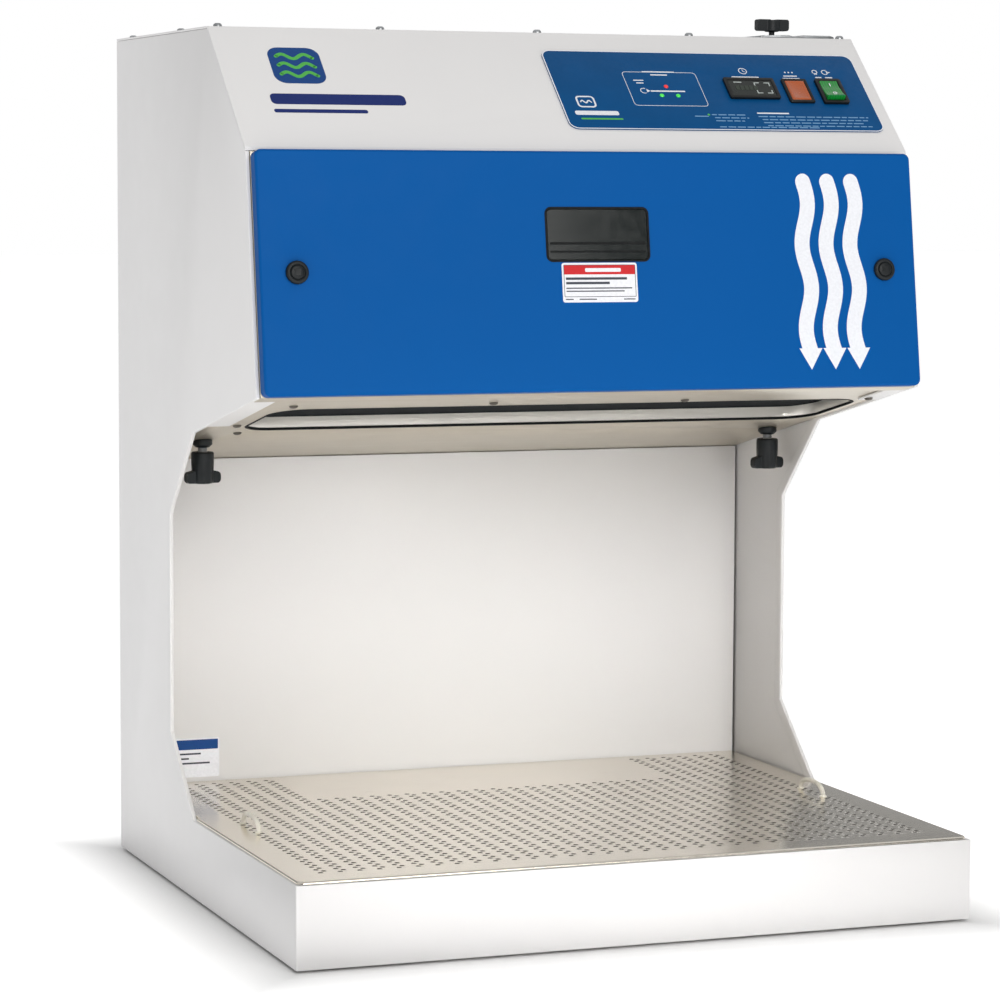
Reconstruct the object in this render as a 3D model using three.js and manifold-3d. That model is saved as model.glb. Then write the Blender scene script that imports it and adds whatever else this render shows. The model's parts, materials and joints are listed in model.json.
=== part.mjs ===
// Bench-top filtered fume hood: a sheet-metal cabinet with a perforated lift-out deck, a rear air duct
// and a head that holds the lamp, the filter, the fan and the controls.
// Millimetres, +Z up, front towards -Y. The origin is the centre of the footprint at the feet.
import * as THREE from 'three';
import { mergeVertices } from 'three/addons/utils/BufferGeometryUtils.js';
import Module from 'manifold-3d';

const wasm = await Module();
wasm.setup();

// ---------------------------------------------------------------- driving dimensions
const WIDTH = 686;
const DEPTH = 635;
const HEIGHT = 864;
const SHEET = 2;
const GAP = 0.3;
const FOOT_HEIGHT = 3;
const HEM = 4;
const HEM_WIDTH = 12;
const LIP = 3.7;
const HALF = WIDTH / 2;
const INNER_HALF = HALF - HEM - GAP;

// Side profile, as [distance from the back, height].
const ROOF_FRONT = [349, HEIGHT];
const BROW = [476, 748];
const CHIN = [510, 515];
const NECK_TOP = [290, 468];
const WING_TOP = [204, 381];
const WING_BOTTOM = [204, 158];
const BASE_REAR = [289, 81];
const BASE_TOP = 81;
const DECK_TOP = 84;

const ROOF_RETURN = 2.2;
const THROUGH = 10;
const BACK_PANEL_DEPTH = 3;
const DUCT_DEPTH = 83;
const LINER_BOTTOM = 66;
const INLET = {
  x: 250, z: 790, recess: 0.4, panelHole: [15, 12],
  flange: [25, 14, 4], body: [14.5, 11.5, 3], socket: [11.5, 8.5, 3],
  flangeDepth: 2.3, bodyDepth: 26, socketDepth: 18, pinPitch: 7, pinEnd: 4,
};

const DECK = {
  wideHalf: 340.5, rearHalf: 338.4, wideFrom: 293.5, frontInset: 1.8, radius: 7, rim: 12, sheet: 1.5,
};
const COLLAR = { half: 318, rear: 100, front: 618, bottom: 70, sheet: 1.5 };
const LEDGE = { inner: 320, bottom: 60, web: 1.7 };
const TRAY = { half: 300, rear: 120, front: 600, top: 30, sheet: 1.5 };
const FOOT = { x: 300, rear: 45, front: 590, tread: 13, radius: 15 };

const DOOR_HALF = 338.5;
const DOOR_TOP = 4.2;
const DOOR_THICKNESS = 16;
const DOOR_SKIN = 1.5;
const DOOR_STANDOFF = 2;
const DOOR_OPENING = { half: 285, top: 18, bottom: 217 };
const WINDOW = { half: 52.3, top: 59.7, bottom: 109.7, radius: 5 };
const LATCH = { x: 303, down: 120, head: 11, stud: 4.5, hole: 5.5, reach: 12, height: 4.5 };
const RECEPTACLE = { bore: 5.2, radius: 10, end: 14 };
const SEAL = { half: 333, top: 10, bottom: 6, width: 8, radius: 4 };
const PANE = { inset: 3, radius: 2, inside: 13.6, outside: 16.1 };

const LAMP_OPENING = { left: -296, right: 329, front: 90, rear: 231, radius: 35 };
const LAMP_DEPTH = 54;
const BEZEL_STRIP = 11;
const LENS = { low: 30, high: 33 };
const TUBE = { radius: 8, half: 236, height: 42.5 };
const HOLDER = { x: 249, half: 12, low: 33.4, gap: 1.9 };
const CEILING_LIFT = SHEET + GAP;
const FLANGE_FRONT = 22;
const FLANGE_SIDE = { inner: 317, leftEnd: 181, rightEnd: 84 };

const CLAMP = { x: 313, fromBack: 221, knobBottom: 412, knobTop: 444, rodTop: 622, rod: 5, hole: 8.6 };
const CLAMP_WING = { width: 37.2, depth: 11.5, body: 11.5, turn: 10, rodSocket: 13 };
const LIFT = { inner: 258, outer: 326, rear: 132, front: 450, sheet: 3, lip: 2, lipHeight: 12, nut: 11 };
const PAD = { half: 255, rear: 156, front: 450, height: 11.4 };
const FILTER = { half: 280, rear: 130, front: 455, bottom: 602, height: 129.4, wall: 12 };
const FAN_DECK = 736;
const FAN = { fromBack: 180, inlet: 100, radius: 98, bottom: 754, top: 805, eye: 84, hub: 22, blades: 7 };
const MOTOR = { radius: 50, shaft: 6, height: 31 };
const STRAP = { half: 125, foot: 25, width: 44, clearance: 34 };
const GRILLE = { half: 150, rear: 75, front: 275, flange: 10, slots: 11, bar: 6, slotHalf: 66 };

const CONTROLS = {
  overlay: { left: -9, right: 330.5, top: 28, bottom: 144, radius: 10 },
  meter: { x: 202.5, down: 83, width: 55, length: 30 },
  lamp: { x: 252.7, down: 85.5, width: 27.5, length: 35 },
  rocker: { x: 290, down: 86, width: 28, length: 36 },
};
const ROCKER_TILT = THREE.MathUtils.degToRad(9);
const BEZEL = { seat: 1.8, height: 2.6, radius: 2, rim: 2.5, recess: 3.5 };
const ROCKER_WELL = { half: 10.4, length: 14.5, depth: 16, body: 24, height: 3 };
const CONTROLLER = { left: -150, right: 40, top: 36, bottom: 130, height: 42, tab: 8 };
const HANDLE = { x: 304, fromBack: 360, half: 27, rise: 12, radius: 2.3 };
const TOP_KNOB = {
  x: 262, fromBack: 330, hole: 3.3, stud: 2.8, shank: 8, seat: 6.6, height: 12.6, half: 17.5,
};
const ACCESS_PLATE = { front: 282, length: 60 };

// ---------------------------------------------------------------- materials
function finish(color, roughness, metalness) {
  return new THREE.MeshStandardMaterial({ color, roughness, metalness });
}

const WHITE_PAINT = finish(0xe6e7ee, 0.45, 0.1);
const BLUE_PAINT = finish(0x1862af, 0.35, 0.1);
const STAINLESS = finish(0xc9c2b8, 0.25, 0.95);
const ZINC = finish(0xb4b6b8, 0.4, 0.9);
const BLACK_PLASTIC = finish(0x19232a, 0.4, 0);
const RUBBER = finish(0x101315, 0.8, 0);
const GLASS = finish(0x8f979c, 0.1, 0);
const OVERLAY_FILM = finish(0x0a508c, 0.4, 0);
const AMBER = finish(0xd88a1a, 0.3, 0);
const GREEN = finish(0x2f9c4a, 0.35, 0);
const CREAM = finish(0xf0eedf, 0.4, 0);
const CARBON = finish(0x34383c, 0.9, 0);
const FLEECE = finish(0xdfe3e4, 0.95, 0);
const LAMP_GLASS = finish(0xf4f4ee, 0.3, 0);

// ---------------------------------------------------------------- geometry helpers
function toManifold(geometry) {
  const bare = geometry.clone();
  bare.deleteAttribute('normal');
  bare.deleteAttribute('uv');
  const merged = mergeVertices(bare, 1e-5);
  const mesh = new wasm.Mesh({
    numProp: 3,
    vertProperties: new Float32Array(merged.attributes.position.array),
    triVerts: new Uint32Array(merged.index.array),
  });
  return new wasm.Manifold(mesh);
}

function fromManifold(solid) {
  const mesh = solid.getMesh();
  const geometry = new THREE.BufferGeometry();
  geometry.setAttribute('position', new THREE.BufferAttribute(mesh.vertProperties, 3));
  geometry.setIndex(new THREE.BufferAttribute(mesh.triVerts, 1));
  geometry.computeVertexNormals();
  return geometry;
}

function join(first, ...others) {
  let solid = toManifold(first);
  for (const other of others) solid = solid.add(toManifold(other));
  return fromManifold(solid);
}

function cut(first, ...others) {
  let solid = toManifold(first);
  for (const other of others) solid = solid.subtract(toManifold(other));
  return fromManifold(solid);
}

function box(x0, x1, y0, y1, z0, z1) {
  const geometry = new THREE.BoxGeometry(x1 - x0, y1 - y0, z1 - z0);
  return geometry.translate((x0 + x1) / 2, (y0 + y1) / 2, (z0 + z1) / 2);
}

// A box given by its distances from the back of the cabinet.
function slab(x0, x1, back0, back1, z0, z1) {
  return box(x0, x1, DEPTH / 2 - back1, DEPTH / 2 - back0, z0, z1);
}

function extrudeZ(shape, z0, z1, curveSegments = 4) {
  const geometry = new THREE.ExtrudeGeometry(shape, { depth: z1 - z0, bevelEnabled: false, curveSegments });
  return geometry.translate(0, 0, z0);
}

// An outline in the Y-Z plane, drawn out from x0 to x1.
function extrudeX(points, x0, x1) {
  const shape = new THREE.Shape(points);
  const geometry = new THREE.ExtrudeGeometry(shape, { depth: x1 - x0, bevelEnabled: false });
  const axes = new THREE.Matrix4().makeBasis(
    new THREE.Vector3(0, 1, 0),
    new THREE.Vector3(0, 0, 1),
    new THREE.Vector3(1, 0, 0),
  );
  return geometry.applyMatrix4(axes).translate(x0, 0, 0);
}

// A turned solid about a vertical axis, from [radius, height] points.
function turned(profile, segments = 20) {
  const points = profile.map(([radius, height]) => new THREE.Vector2(radius, height));
  return new THREE.LatheGeometry(points, segments).rotateX(Math.PI / 2);
}

function cylinder(radius, z0, z1, segments = 20) {
  return turned([[0, z0], [radius, z0], [radius, z1], [0, z1]], segments);
}

function ring(inner, outer, z0, z1, segments = 20) {
  return turned([[inner, z0], [outer, z0], [outer, z1], [inner, z1], [inner, z0]], segments);
}

function roundedRect(x0, x1, y0, y1, radius) {
  const shape = new THREE.Shape();
  shape.moveTo(x0 + radius, y0);
  shape.lineTo(x1 - radius, y0);
  shape.absarc(x1 - radius, y0 + radius, radius, -Math.PI / 2, 0);
  shape.lineTo(x1, y1 - radius);
  shape.absarc(x1 - radius, y1 - radius, radius, 0, Math.PI / 2);
  shape.lineTo(x0 + radius, y1);
  shape.absarc(x0 + radius, y1 - radius, radius, Math.PI / 2, Math.PI);
  shape.lineTo(x0, y0 + radius);
  shape.absarc(x0 + radius, y0 + radius, radius, Math.PI, Math.PI * 1.5);
  return shape;
}

// A point of the side profile, in the Y-Z plane.
function place([fromBack, height]) {
  return new THREE.Vector2(DEPTH / 2 - fromBack, height);
}

// The point a distance along start-end, moved sideways to the left of that direction.
function along(start, end, distance, left = 0) {
  const direction = end.clone().sub(start).normalize();
  const normal = new THREE.Vector2(-direction.y, direction.x);
  return start.clone().addScaledVector(direction, distance).addScaledVector(normal, left);
}

// The closed outline of a folded sheet whose outer skin runs through the points,
// with its thickness to the left of the way the points run.
function foldedSheet(points, thickness) {
  const inner = points.map((point, index) => {
    const before = points[index - 1];
    const after = points[index + 1];
    if (!before) return along(point, after, 0, thickness);
    if (!after) return along(before, point, before.distanceTo(point), thickness);
    const into = point.clone().sub(before).normalize();
    const away = after.clone().sub(point).normalize();
    const bisector = new THREE.Vector2(-into.y - away.y, into.x + away.x).normalize();
    const stretch = thickness / bisector.dot(new THREE.Vector2(-into.y, into.x));
    return point.clone().addScaledVector(bisector, stretch);
  });
  return [...points, ...inner.reverse()];
}

// ---------------------------------------------------------------- scene helpers
const model = new THREE.Group();

function add(parent, name, geometry, material, x = 0, y = 0, z = 0) {
  const mesh = new THREE.Mesh(geometry, material);
  mesh.name = name;
  mesh.position.set(x, y, z);
  parent.add(mesh);
  return mesh;
}

// A group whose local Y runs along the given way in the Y-Z plane, with X kept across the cabinet.
function tiltedGroup(origin, way) {
  const yAxis = new THREE.Vector3(0, way.x, way.y).normalize();
  const xAxis = new THREE.Vector3(1, 0, 0);
  const zAxis = xAxis.clone().cross(yAxis);
  const group = new THREE.Group();
  group.position.set(0, origin.x, origin.y);
  group.quaternion.setFromRotationMatrix(new THREE.Matrix4().makeBasis(xAxis, yAxis, zAxis));
  group.updateMatrixWorld();
  model.add(group);
  return group;
}

function toLocal(group, point) {
  const local = group.worldToLocal(new THREE.Vector3(0, point.x, point.y));
  return new THREE.Vector2(local.y, local.z);
}

const roofFront = place(ROOF_FRONT);
const brow = place(BROW);
const chin = place(CHIN);
const neckTop = place(NECK_TOP);

// The slope with the controls: local -Y runs down it and +Z points out.
const slope = tiltedGroup(roofFront, roofFront.clone().sub(brow));
// The filter door's face: local -Y runs down it and +Z points out.
const face = tiltedGroup(brow, brow.clone().sub(chin));
// The ceiling of the work space: local +Y runs to the back and +Z up into the head.
const ceiling = tiltedGroup(chin, neckTop.clone().sub(chin));

const FACE_LENGTH = brow.distanceTo(chin);
const ceilingFall = (chin.y - neckTop.y) / (neckTop.x - chin.x);
const ceilingHeight = (fromBack) => chin.y - (CHIN[0] - fromBack) * ceilingFall;

// ---------------------------------------------------------------- cabinet shell
function sidePanel(side) {
  const lip = SHEET + GAP;
  const browEnd = along(brow, chin, LIP + GAP);
  const [browEndInside, browInside] = foldedSheet([roofFront, brow, browEnd], lip).slice(3);
  const roof = HEIGHT - SHEET - GAP;
  const slopeStart = along(roofFront, brow, SHEET / 2, lip);
  const front = [DEPTH - lip, BASE_TOP];
  const wing = [WING_TOP, WING_BOTTOM, BASE_REAR, front].map(place);
  const edge = [browEnd, chin, neckTop, ...wing];
  const outline = [
    place([0, FOOT_HEIGHT]),
    place([0, roof]),
    new THREE.Vector2(slopeStart.x, roof),
    browInside,
    browEndInside,
    ...edge,
    place([front[0], FOOT_HEIGHT]),
  ];
  const flange = [
    along(chin, neckTop, FLANGE_FRONT + GAP),
    along(chin, neckTop, side > 0 ? FLANGE_SIDE.rightEnd : FLANGE_SIDE.leftEnd),
  ];
  const panel = join(
    extrudeX(outline, HALF - SHEET, HALF),
    extrudeX(foldedSheet(edge, HEM_WIDTH), HALF - HEM, HALF - SHEET / 2),
    extrudeX(foldedSheet(flange, SHEET), FLANGE_SIDE.inner, HALF - SHEET / 2),
  );
  if (side > 0) return panel;
  return fromManifold(toManifold(panel).mirror([1, 0, 0]));
}

function topPanel() {
  const plate = slab(-HALF, HALF, 0, ROOF_FRONT[0] - ROOF_RETURN - GAP, HEIGHT - SHEET, HEIGHT);
  const { half, rear, front } = GRILLE;
  const vent = slab(-half, half, rear, front, HEIGHT - THROUGH, HEIGHT + THROUGH);
  return cut(plate, vent, knobHole());
}

function knobHole() {
  const hole = cylinder(TOP_KNOB.hole, HEIGHT - THROUGH, HEIGHT + THROUGH);
  return hole.translate(TOP_KNOB.x, DEPTH / 2 - TOP_KNOB.fromBack, 0);
}

function opening(control, clearance) {
  const halfWidth = control.width / 2 - clearance;
  const halfLength = control.length / 2 - clearance;
  return box(
    control.x - halfWidth, control.x + halfWidth,
    -control.down - halfLength, -control.down + halfLength,
    -2 * THROUGH, 2 * THROUGH,
  );
}

function controlOpenings() {
  return [CONTROLS.meter, CONTROLS.lamp, CONTROLS.rocker].map((control) => opening(control, 2));
}

function headFrontPanel() {
  const skin = [
    toLocal(slope, place([ROOF_FRONT[0] - ROOF_RETURN, HEIGHT])),
    toLocal(slope, roofFront),
    toLocal(slope, brow),
    toLocal(slope, along(brow, chin, LIP)),
  ];
  const panel = extrudeX(foldedSheet(skin, SHEET), -HALF, HALF);
  return cut(panel, ...controlOpenings());
}

function backPanel() {
  const plate = slab(
    -INNER_HALF, INNER_HALF,
    BACK_PANEL_DEPTH, BACK_PANEL_DEPTH + SHEET,
    FOOT_HEIGHT + SHEET + GAP, HEIGHT - SHEET - GAP,
  );
  const [halfWidth, halfHeight] = INLET.panelHole;
  const hole = slab(
    INLET.x - halfWidth, INLET.x + halfWidth, 0, 2 * THROUGH,
    INLET.z - halfHeight, INLET.z + halfHeight,
  );
  return cut(plate, hole);
}

function powerInlet() {
  const outline = ([half, rise, radius]) => roundedRect(-half, half, -rise, rise, radius);
  const { flange, body, socket, flangeDepth, bodyDepth, socketDepth, pinPitch, pinEnd } = INLET;
  const shell = cut(
    join(extrudeZ(outline(flange), -flangeDepth, 0), extrudeZ(outline(body), -bodyDepth, -1)),
    extrudeZ(outline(socket), -socketDepth, 1),
  );
  const pins = [-pinPitch, 0, pinPitch].map((x) => box(x - 1, x + 1, -2, 2, -socketDepth - 1, -pinEnd));
  return join(shell, ...pins).rotateX(-Math.PI / 2);
}

function addShell() {
  add(model, 'right_side_panel', sidePanel(1), WHITE_PAINT);
  add(model, 'left_side_panel', sidePanel(-1), WHITE_PAINT);
  add(model, 'top_panel', topPanel(), WHITE_PAINT);
  add(slope, 'head_front_panel', headFrontPanel(), WHITE_PAINT);
  add(model, 'back_panel', backPanel(), WHITE_PAINT);
  add(model, 'power_inlet', powerInlet(), BLACK_PLASTIC, INLET.x, DEPTH / 2 - INLET.recess, INLET.z);
  const linerTop = ceilingHeight(DUCT_DEPTH - SHEET) + CEILING_LIFT - GAP;
  const liner = slab(-INNER_HALF, INNER_HALF, DUCT_DEPTH - SHEET, DUCT_DEPTH, LINER_BOTTOM, linerTop);
  add(model, 'rear_liner', liner, WHITE_PAINT);
}

// ---------------------------------------------------------------- base and deck
function baseShell() {
  const floorStart = [BACK_PANEL_DEPTH + SHEET + GAP, FOOT_HEIGHT];
  const floor = foldedSheet([place(floorStart), place([DEPTH, FOOT_HEIGHT])], -SHEET);
  const front = slab(-HALF, HALF, DEPTH - SHEET, DEPTH, FOOT_HEIGHT, BASE_TOP);
  const ledge = slab(-INNER_HALF, INNER_HALF, DEPTH - HEM_WIDTH, DEPTH - 1, BASE_TOP - SHEET, BASE_TOP);
  return join(extrudeX(floor, -INNER_HALF, INNER_HALF), front, ledge);
}

function deckLedge() {
  const rear = DUCT_DEPTH + GAP;
  const front = BASE_REAR[0];
  const shelf = slab(LEDGE.inner, INNER_HALF, rear, front, BASE_TOP - SHEET, BASE_TOP);
  const web = slab(INNER_HALF - LEDGE.web, INNER_HALF, rear, front, LEDGE.bottom, BASE_TOP - 1);
  return join(shelf, web);
}

function deckTray() {
  const bottom = BASE_TOP + GAP;
  const rear = DUCT_DEPTH + 1 + GAP;
  const front = DEPTH - DECK.frontInset;
  const { wideHalf, rearHalf, wideFrom, radius, rim, sheet } = DECK;
  // The wide outline runs past its rear edge, where its round corners are cut off.
  const wide = roundedRect(-wideHalf, wideHalf, DEPTH / 2 - front, DEPTH / 2 - wideFrom + radius + 1, radius);
  const plate = join(
    cut(extrudeZ(wide, bottom, DECK_TOP), slab(-WIDTH, WIDTH, 0, wideFrom, 0, HEIGHT)),
    slab(-rearHalf, rearHalf, rear, wideFrom + 1, bottom, DECK_TOP),
  );
  const hollowHalf = rearHalf - rim;
  const hollow = slab(-hollowHalf, hollowHalf, rear + rim, front - rim, 0, DECK_TOP - sheet);
  const inside = COLLAR.half - COLLAR.sheet;
  const collar = cut(
    slab(-COLLAR.half, COLLAR.half, COLLAR.rear, COLLAR.front, COLLAR.bottom, DECK_TOP - 1),
    slab(-inside, inside, COLLAR.rear + COLLAR.sheet, COLLAR.front - COLLAR.sheet, 0, HEIGHT),
  );
  return join(cut(plate, hollow), collar);
}

class Bow extends THREE.Curve {
  getPoint(t, target = new THREE.Vector3()) {
    const angle = Math.PI * t;
    return target.set(0, HANDLE.half * Math.cos(angle), HANDLE.rise * Math.sin(angle));
  }
}

function deckHandle() {
  const section = new THREE.Shape();
  section.absarc(0, 0, HANDLE.radius, 0, Math.PI * 2);
  const options = { extrudePath: new Bow(), steps: 18, bevelEnabled: false, curveSegments: 4 };
  return new THREE.ExtrudeGeometry(section, options);
}

function addBase() {
  add(model, 'base_shell', baseShell(), WHITE_PAINT);
  add(model, 'deck_ledge_right', deckLedge(), ZINC);
  const leftLedge = fromManifold(toManifold(deckLedge()).mirror([1, 0, 0]));
  add(model, 'deck_ledge_left', leftLedge, ZINC);
  const floorTop = FOOT_HEIGHT + SHEET + GAP;
  const { half, rear, front, top, sheet } = TRAY;
  const tray = cut(
    slab(-half, half, rear, front, floorTop, top),
    slab(-half + sheet, half - sheet, rear + sheet, front - sheet, floorTop + sheet, top + THROUGH),
  );
  add(model, 'spill_tray', tray, STAINLESS);
  add(model, 'perforated_deck', deckTray(), STAINLESS);
  for (const [name, side] of [['left', -1], ['right', 1]]) {
    const handleY = DEPTH / 2 - HANDLE.fromBack;
    add(model, `deck_handle_${name}`, deckHandle(), CREAM, side * HANDLE.x, handleY, DECK_TOP + 0.5);
    const footTop = FOOT_HEIGHT - GAP;
    for (const end of ['rear', 'front']) {
      const foot = turned([[0, 0], [FOOT.tread, 0], [FOOT.radius, 1], [FOOT.radius, footTop], [0, footTop]]);
      add(model, `foot_${end}_${name}`, foot, RUBBER, side * FOOT.x, DEPTH / 2 - FOOT[end], 0);
    }
  }
}

// ---------------------------------------------------------------- ceiling and lamp
// The round-cornered outline of the lamp opening, grown all round.
function lampOutline(grow, z0, z1) {
  const { left, right, front, rear, radius } = LAMP_OPENING;
  const outline = roundedRect(left - grow, right + grow, front - grow, rear + grow, radius + grow);
  return extrudeZ(outline, z0, z1, 6);
}

function ceilingPanel() {
  const rear = (CHIN[0] - DUCT_DEPTH + SHEET) * Math.hypot(1, ceilingFall);
  const plate = box(-INNER_HALF, INNER_HALF, 3, rear, CEILING_LIFT, CEILING_LIFT + SHEET);
  const rodPoint = new THREE.Vector2(DEPTH / 2 - CLAMP.fromBack, ceilingHeight(CLAMP.fromBack));
  const rodY = toLocal(ceiling, rodPoint).x;
  const rodHoles = [-1, 1].map((side) => {
    const hole = cylinder(CLAMP.hole, -THROUGH, 2 * THROUGH);
    return hole.translate(side * CLAMP.x, rodY, 0);
  });
  return cut(plate, lampOutline(0, -THROUGH, 2 * THROUGH), ...rodHoles);
}

function lampRing(growOut, growIn, z0, z1) {
  return cut(lampOutline(growOut, z0, z1), lampOutline(growIn, z0 - 1, z1 + 1));
}

function lampHousing(start) {
  const sheet = 1.5;
  return cut(lampOutline(4, start, LAMP_DEPTH), lampOutline(2, start - 1, LAMP_DEPTH - sheet));
}

function addCeiling() {
  const top = CEILING_LIFT + SHEET;
  const centre = (LAMP_OPENING.left + LAMP_OPENING.right) / 2;
  const middle = (LAMP_OPENING.front + LAMP_OPENING.rear) / 2;
  add(ceiling, 'ceiling_panel', ceilingPanel(), STAINLESS);
  add(ceiling, 'lamp_trim', lampRing(-0.3, -2.3, CEILING_LIFT - 0.4, top), RUBBER);
  const bezelTop = top + BEZEL_STRIP;
  add(ceiling, 'lamp_bezel', lampRing(4, -1.5, top + GAP, bezelTop), STAINLESS);
  add(ceiling, 'lamp_housing', lampHousing(bezelTop + GAP), BLACK_PLASTIC);
  add(ceiling, 'lamp_lens', lampOutline(1.6, LENS.low, LENS.high), GLASS);
  const tube = cylinder(TUBE.radius, -TUBE.half, TUBE.half).rotateY(Math.PI / 2);
  add(ceiling, 'lamp_tube', tube, LAMP_GLASS, centre, middle, TUBE.height);
  for (const [name, side] of [['left', -1], ['right', 1]]) {
    const { half, low, gap } = HOLDER;
    const holder = box(-half, half, -half, half, low, LAMP_DEPTH - gap);
    add(ceiling, `lamp_holder_${name}`, holder, CREAM, centre + side * HOLDER.x, middle, 0);
  }
}

// ---------------------------------------------------------------- filter door
function doorFrame() {
  const skin = [
    toLocal(face, along(brow, chin, LIP + GAP)),
    toLocal(face, chin),
    toLocal(face, along(chin, neckTop, FLANGE_FRONT)),
  ];
  const sheet = extrudeX(foldedSheet(skin, SHEET), -INNER_HALF, INNER_HALF);
  const { half, top, bottom } = DOOR_OPENING;
  return cut(sheet, box(-half, half, -bottom, -top, -THROUGH, THROUGH), ...latchHoles());
}

function latchHoles() {
  return [-1, 1].map((side) => {
    const hole = cylinder(LATCH.hole, -2 * THROUGH, 3 * THROUGH);
    return hole.translate(side * LATCH.x, -LATCH.down, 0);
  });
}

function doorPan() {
  const bottom = FACE_LENGTH - GAP;
  const corner = 6;
  const outer = roundedRect(-DOOR_HALF, DOOR_HALF, -bottom, -DOOR_TOP, corner);
  const inner = roundedRect(
    -DOOR_HALF + DOOR_SKIN, DOOR_HALF - DOOR_SKIN,
    -bottom + DOOR_SKIN, -DOOR_TOP - DOOR_SKIN, corner - DOOR_SKIN,
  );
  const view = roundedRect(-WINDOW.half, WINDOW.half, -WINDOW.bottom, -WINDOW.top, WINDOW.radius);
  return cut(
    extrudeZ(outer, DOOR_STANDOFF, DOOR_THICKNESS),
    extrudeZ(inner, 0, DOOR_THICKNESS - DOOR_SKIN),
    extrudeZ(view, 0, 3 * THROUGH),
    ...latchHoles(),
  );
}

function windowRing(grow, inset, z0, z1) {
  const outline = (offset) => roundedRect(
    -WINDOW.half - offset, WINDOW.half + offset,
    -WINDOW.bottom - offset, -WINDOW.top + offset,
    WINDOW.radius + offset,
  );
  return cut(extrudeZ(outline(grow), z0, z1, 3), extrudeZ(outline(-inset), z0 - 1, z1 + 1, 3));
}

function windowPane() {
  const outline = roundedRect(
    -WINDOW.half + PANE.inset, WINDOW.half - PANE.inset,
    -WINDOW.bottom + PANE.inset, -WINDOW.top - PANE.inset, PANE.radius,
  );
  return extrudeZ(outline, PANE.inside, PANE.outside, 4);
}

function doorSeal() {
  const { half, top, width, radius } = SEAL;
  const bottom = FACE_LENGTH - SEAL.bottom;
  const outer = roundedRect(-half, half, -bottom, -top, radius);
  const inner = roundedRect(-half + width, half - width, -bottom + width, -top - width, radius - 1);
  return cut(
    extrudeZ(outer, GAP, DOOR_THICKNESS - DOOR_SKIN - GAP, 3),
    extrudeZ(inner, -THROUGH, 2 * THROUGH, 3),
  );
}

function latchStud() {
  const seat = DOOR_THICKNESS + GAP;
  const rim = seat + LATCH.height;
  const dish = rim - 1.3;
  const body = turned([
    [0, -LATCH.reach], [LATCH.stud, -LATCH.reach], [LATCH.stud, seat], [LATCH.head, seat],
    [LATCH.head, rim - 1.5], [LATCH.head - 1.5, rim], [7, rim], [6.4, dish], [0, dish],
  ]);
  return join(body, box(-5.5, 5.5, -1.6, 1.6, dish - 1.2, rim - 0.1));
}

function addDoor() {
  add(face, 'door_frame', doorFrame(), STAINLESS);
  add(face, 'filter_door', doorPan(), BLUE_PAINT);
  const lipInset = PANE.inset - GAP;
  const innerLip = DOOR_THICKNESS - 3.5;
  const gasket = join(
    windowRing(1.7, lipInset, DOOR_THICKNESS + GAP, DOOR_THICKNESS + 1.3),
    windowRing(-GAP, lipInset, innerLip, DOOR_THICKNESS + 1),
    windowRing(4, lipInset, innerLip, DOOR_THICKNESS - DOOR_SKIN - GAP),
  );
  add(face, 'window_gasket', gasket, RUBBER);
  add(face, 'door_window', windowPane(), GLASS);
  add(face, 'door_seal', doorSeal(), RUBBER);
  for (const [name, side] of [['left', -1], ['right', 1]]) {
    add(face, `latch_${name}`, latchStud(), BLACK_PLASTIC, side * LATCH.x, -LATCH.down, 0);
    const receptacle = ring(RECEPTACLE.bore, RECEPTACLE.radius, -RECEPTACLE.end, -SHEET - GAP);
    add(face, `latch_receptacle_${name}`, receptacle, ZINC, side * LATCH.x, -LATCH.down, 0);
  }
}

// ---------------------------------------------------------------- filter and its clamps
function mainFilter() {
  const { half, rear, front, bottom, height, wall } = FILTER;
  const lowerDepth = 24;
  const mediaTop = 64;
  const cavity = (z0, z1) => slab(
    -half + wall, half - wall, rear + wall, front - wall, bottom + z0, bottom + z1,
  );
  const shell = slab(-half, half, rear, front, bottom, bottom + height);
  return cut(shell, cavity(-1, lowerDepth), cavity(mediaTop, height + 1));
}

function liftFrame() {
  const { inner, outer, rear, front, sheet, lip, lipHeight, nut } = LIFT;
  const top = FILTER.bottom - GAP;
  const bottom = top - sheet;
  const clampY = DEPTH / 2 - CLAMP.fromBack;
  const pieces = [slab(-inner - lip, inner + lip, rear, rear + 20, bottom, top)];
  const holes = [];
  for (const side of [-1, 1]) {
    const [arm0, arm1] = [side * inner, side * outer].sort((a, b) => a - b);
    const [lip0, lip1] = [side * (outer - lip), side * outer].sort((a, b) => a - b);
    const x = side * CLAMP.x;
    pieces.push(slab(arm0, arm1, rear, front, bottom, top));
    pieces.push(slab(lip0, lip1, rear, front, bottom, top + lipHeight));
    pieces.push(cylinder(nut, bottom - THROUGH, bottom + 1, 6).translate(x, clampY, 0));
    const hole = cylinder(CLAMP.rod + 2 * GAP, bottom - 2 * THROUGH, top + 2 * THROUGH);
    holes.push(hole.translate(x, clampY, 0));
  }
  return cut(join(...pieces), ...holes);
}

// A knob whose shank stands up from a pair of wings at its bottom.
function clampKnob() {
  const length = CLAMP.knobTop - CLAMP.knobBottom;
  const { width, depth, body, turn, rodSocket } = CLAMP_WING;
  const wing = roundedRect(-width / 2, width / 2, -6.5, 6.5, 5);
  const wings = extrudeZ(wing, 0, depth, 4).rotateZ(THREE.MathUtils.degToRad(turn));
  const shank = turned([
    [0, 2], [9, 2], [body, depth - 1], [body, length - 2], [body - 1.5, length], [0, length],
  ]);
  return cut(join(wings, shank), cylinder(CLAMP.rod + GAP, rodSocket, length + THROUGH));
}

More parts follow.
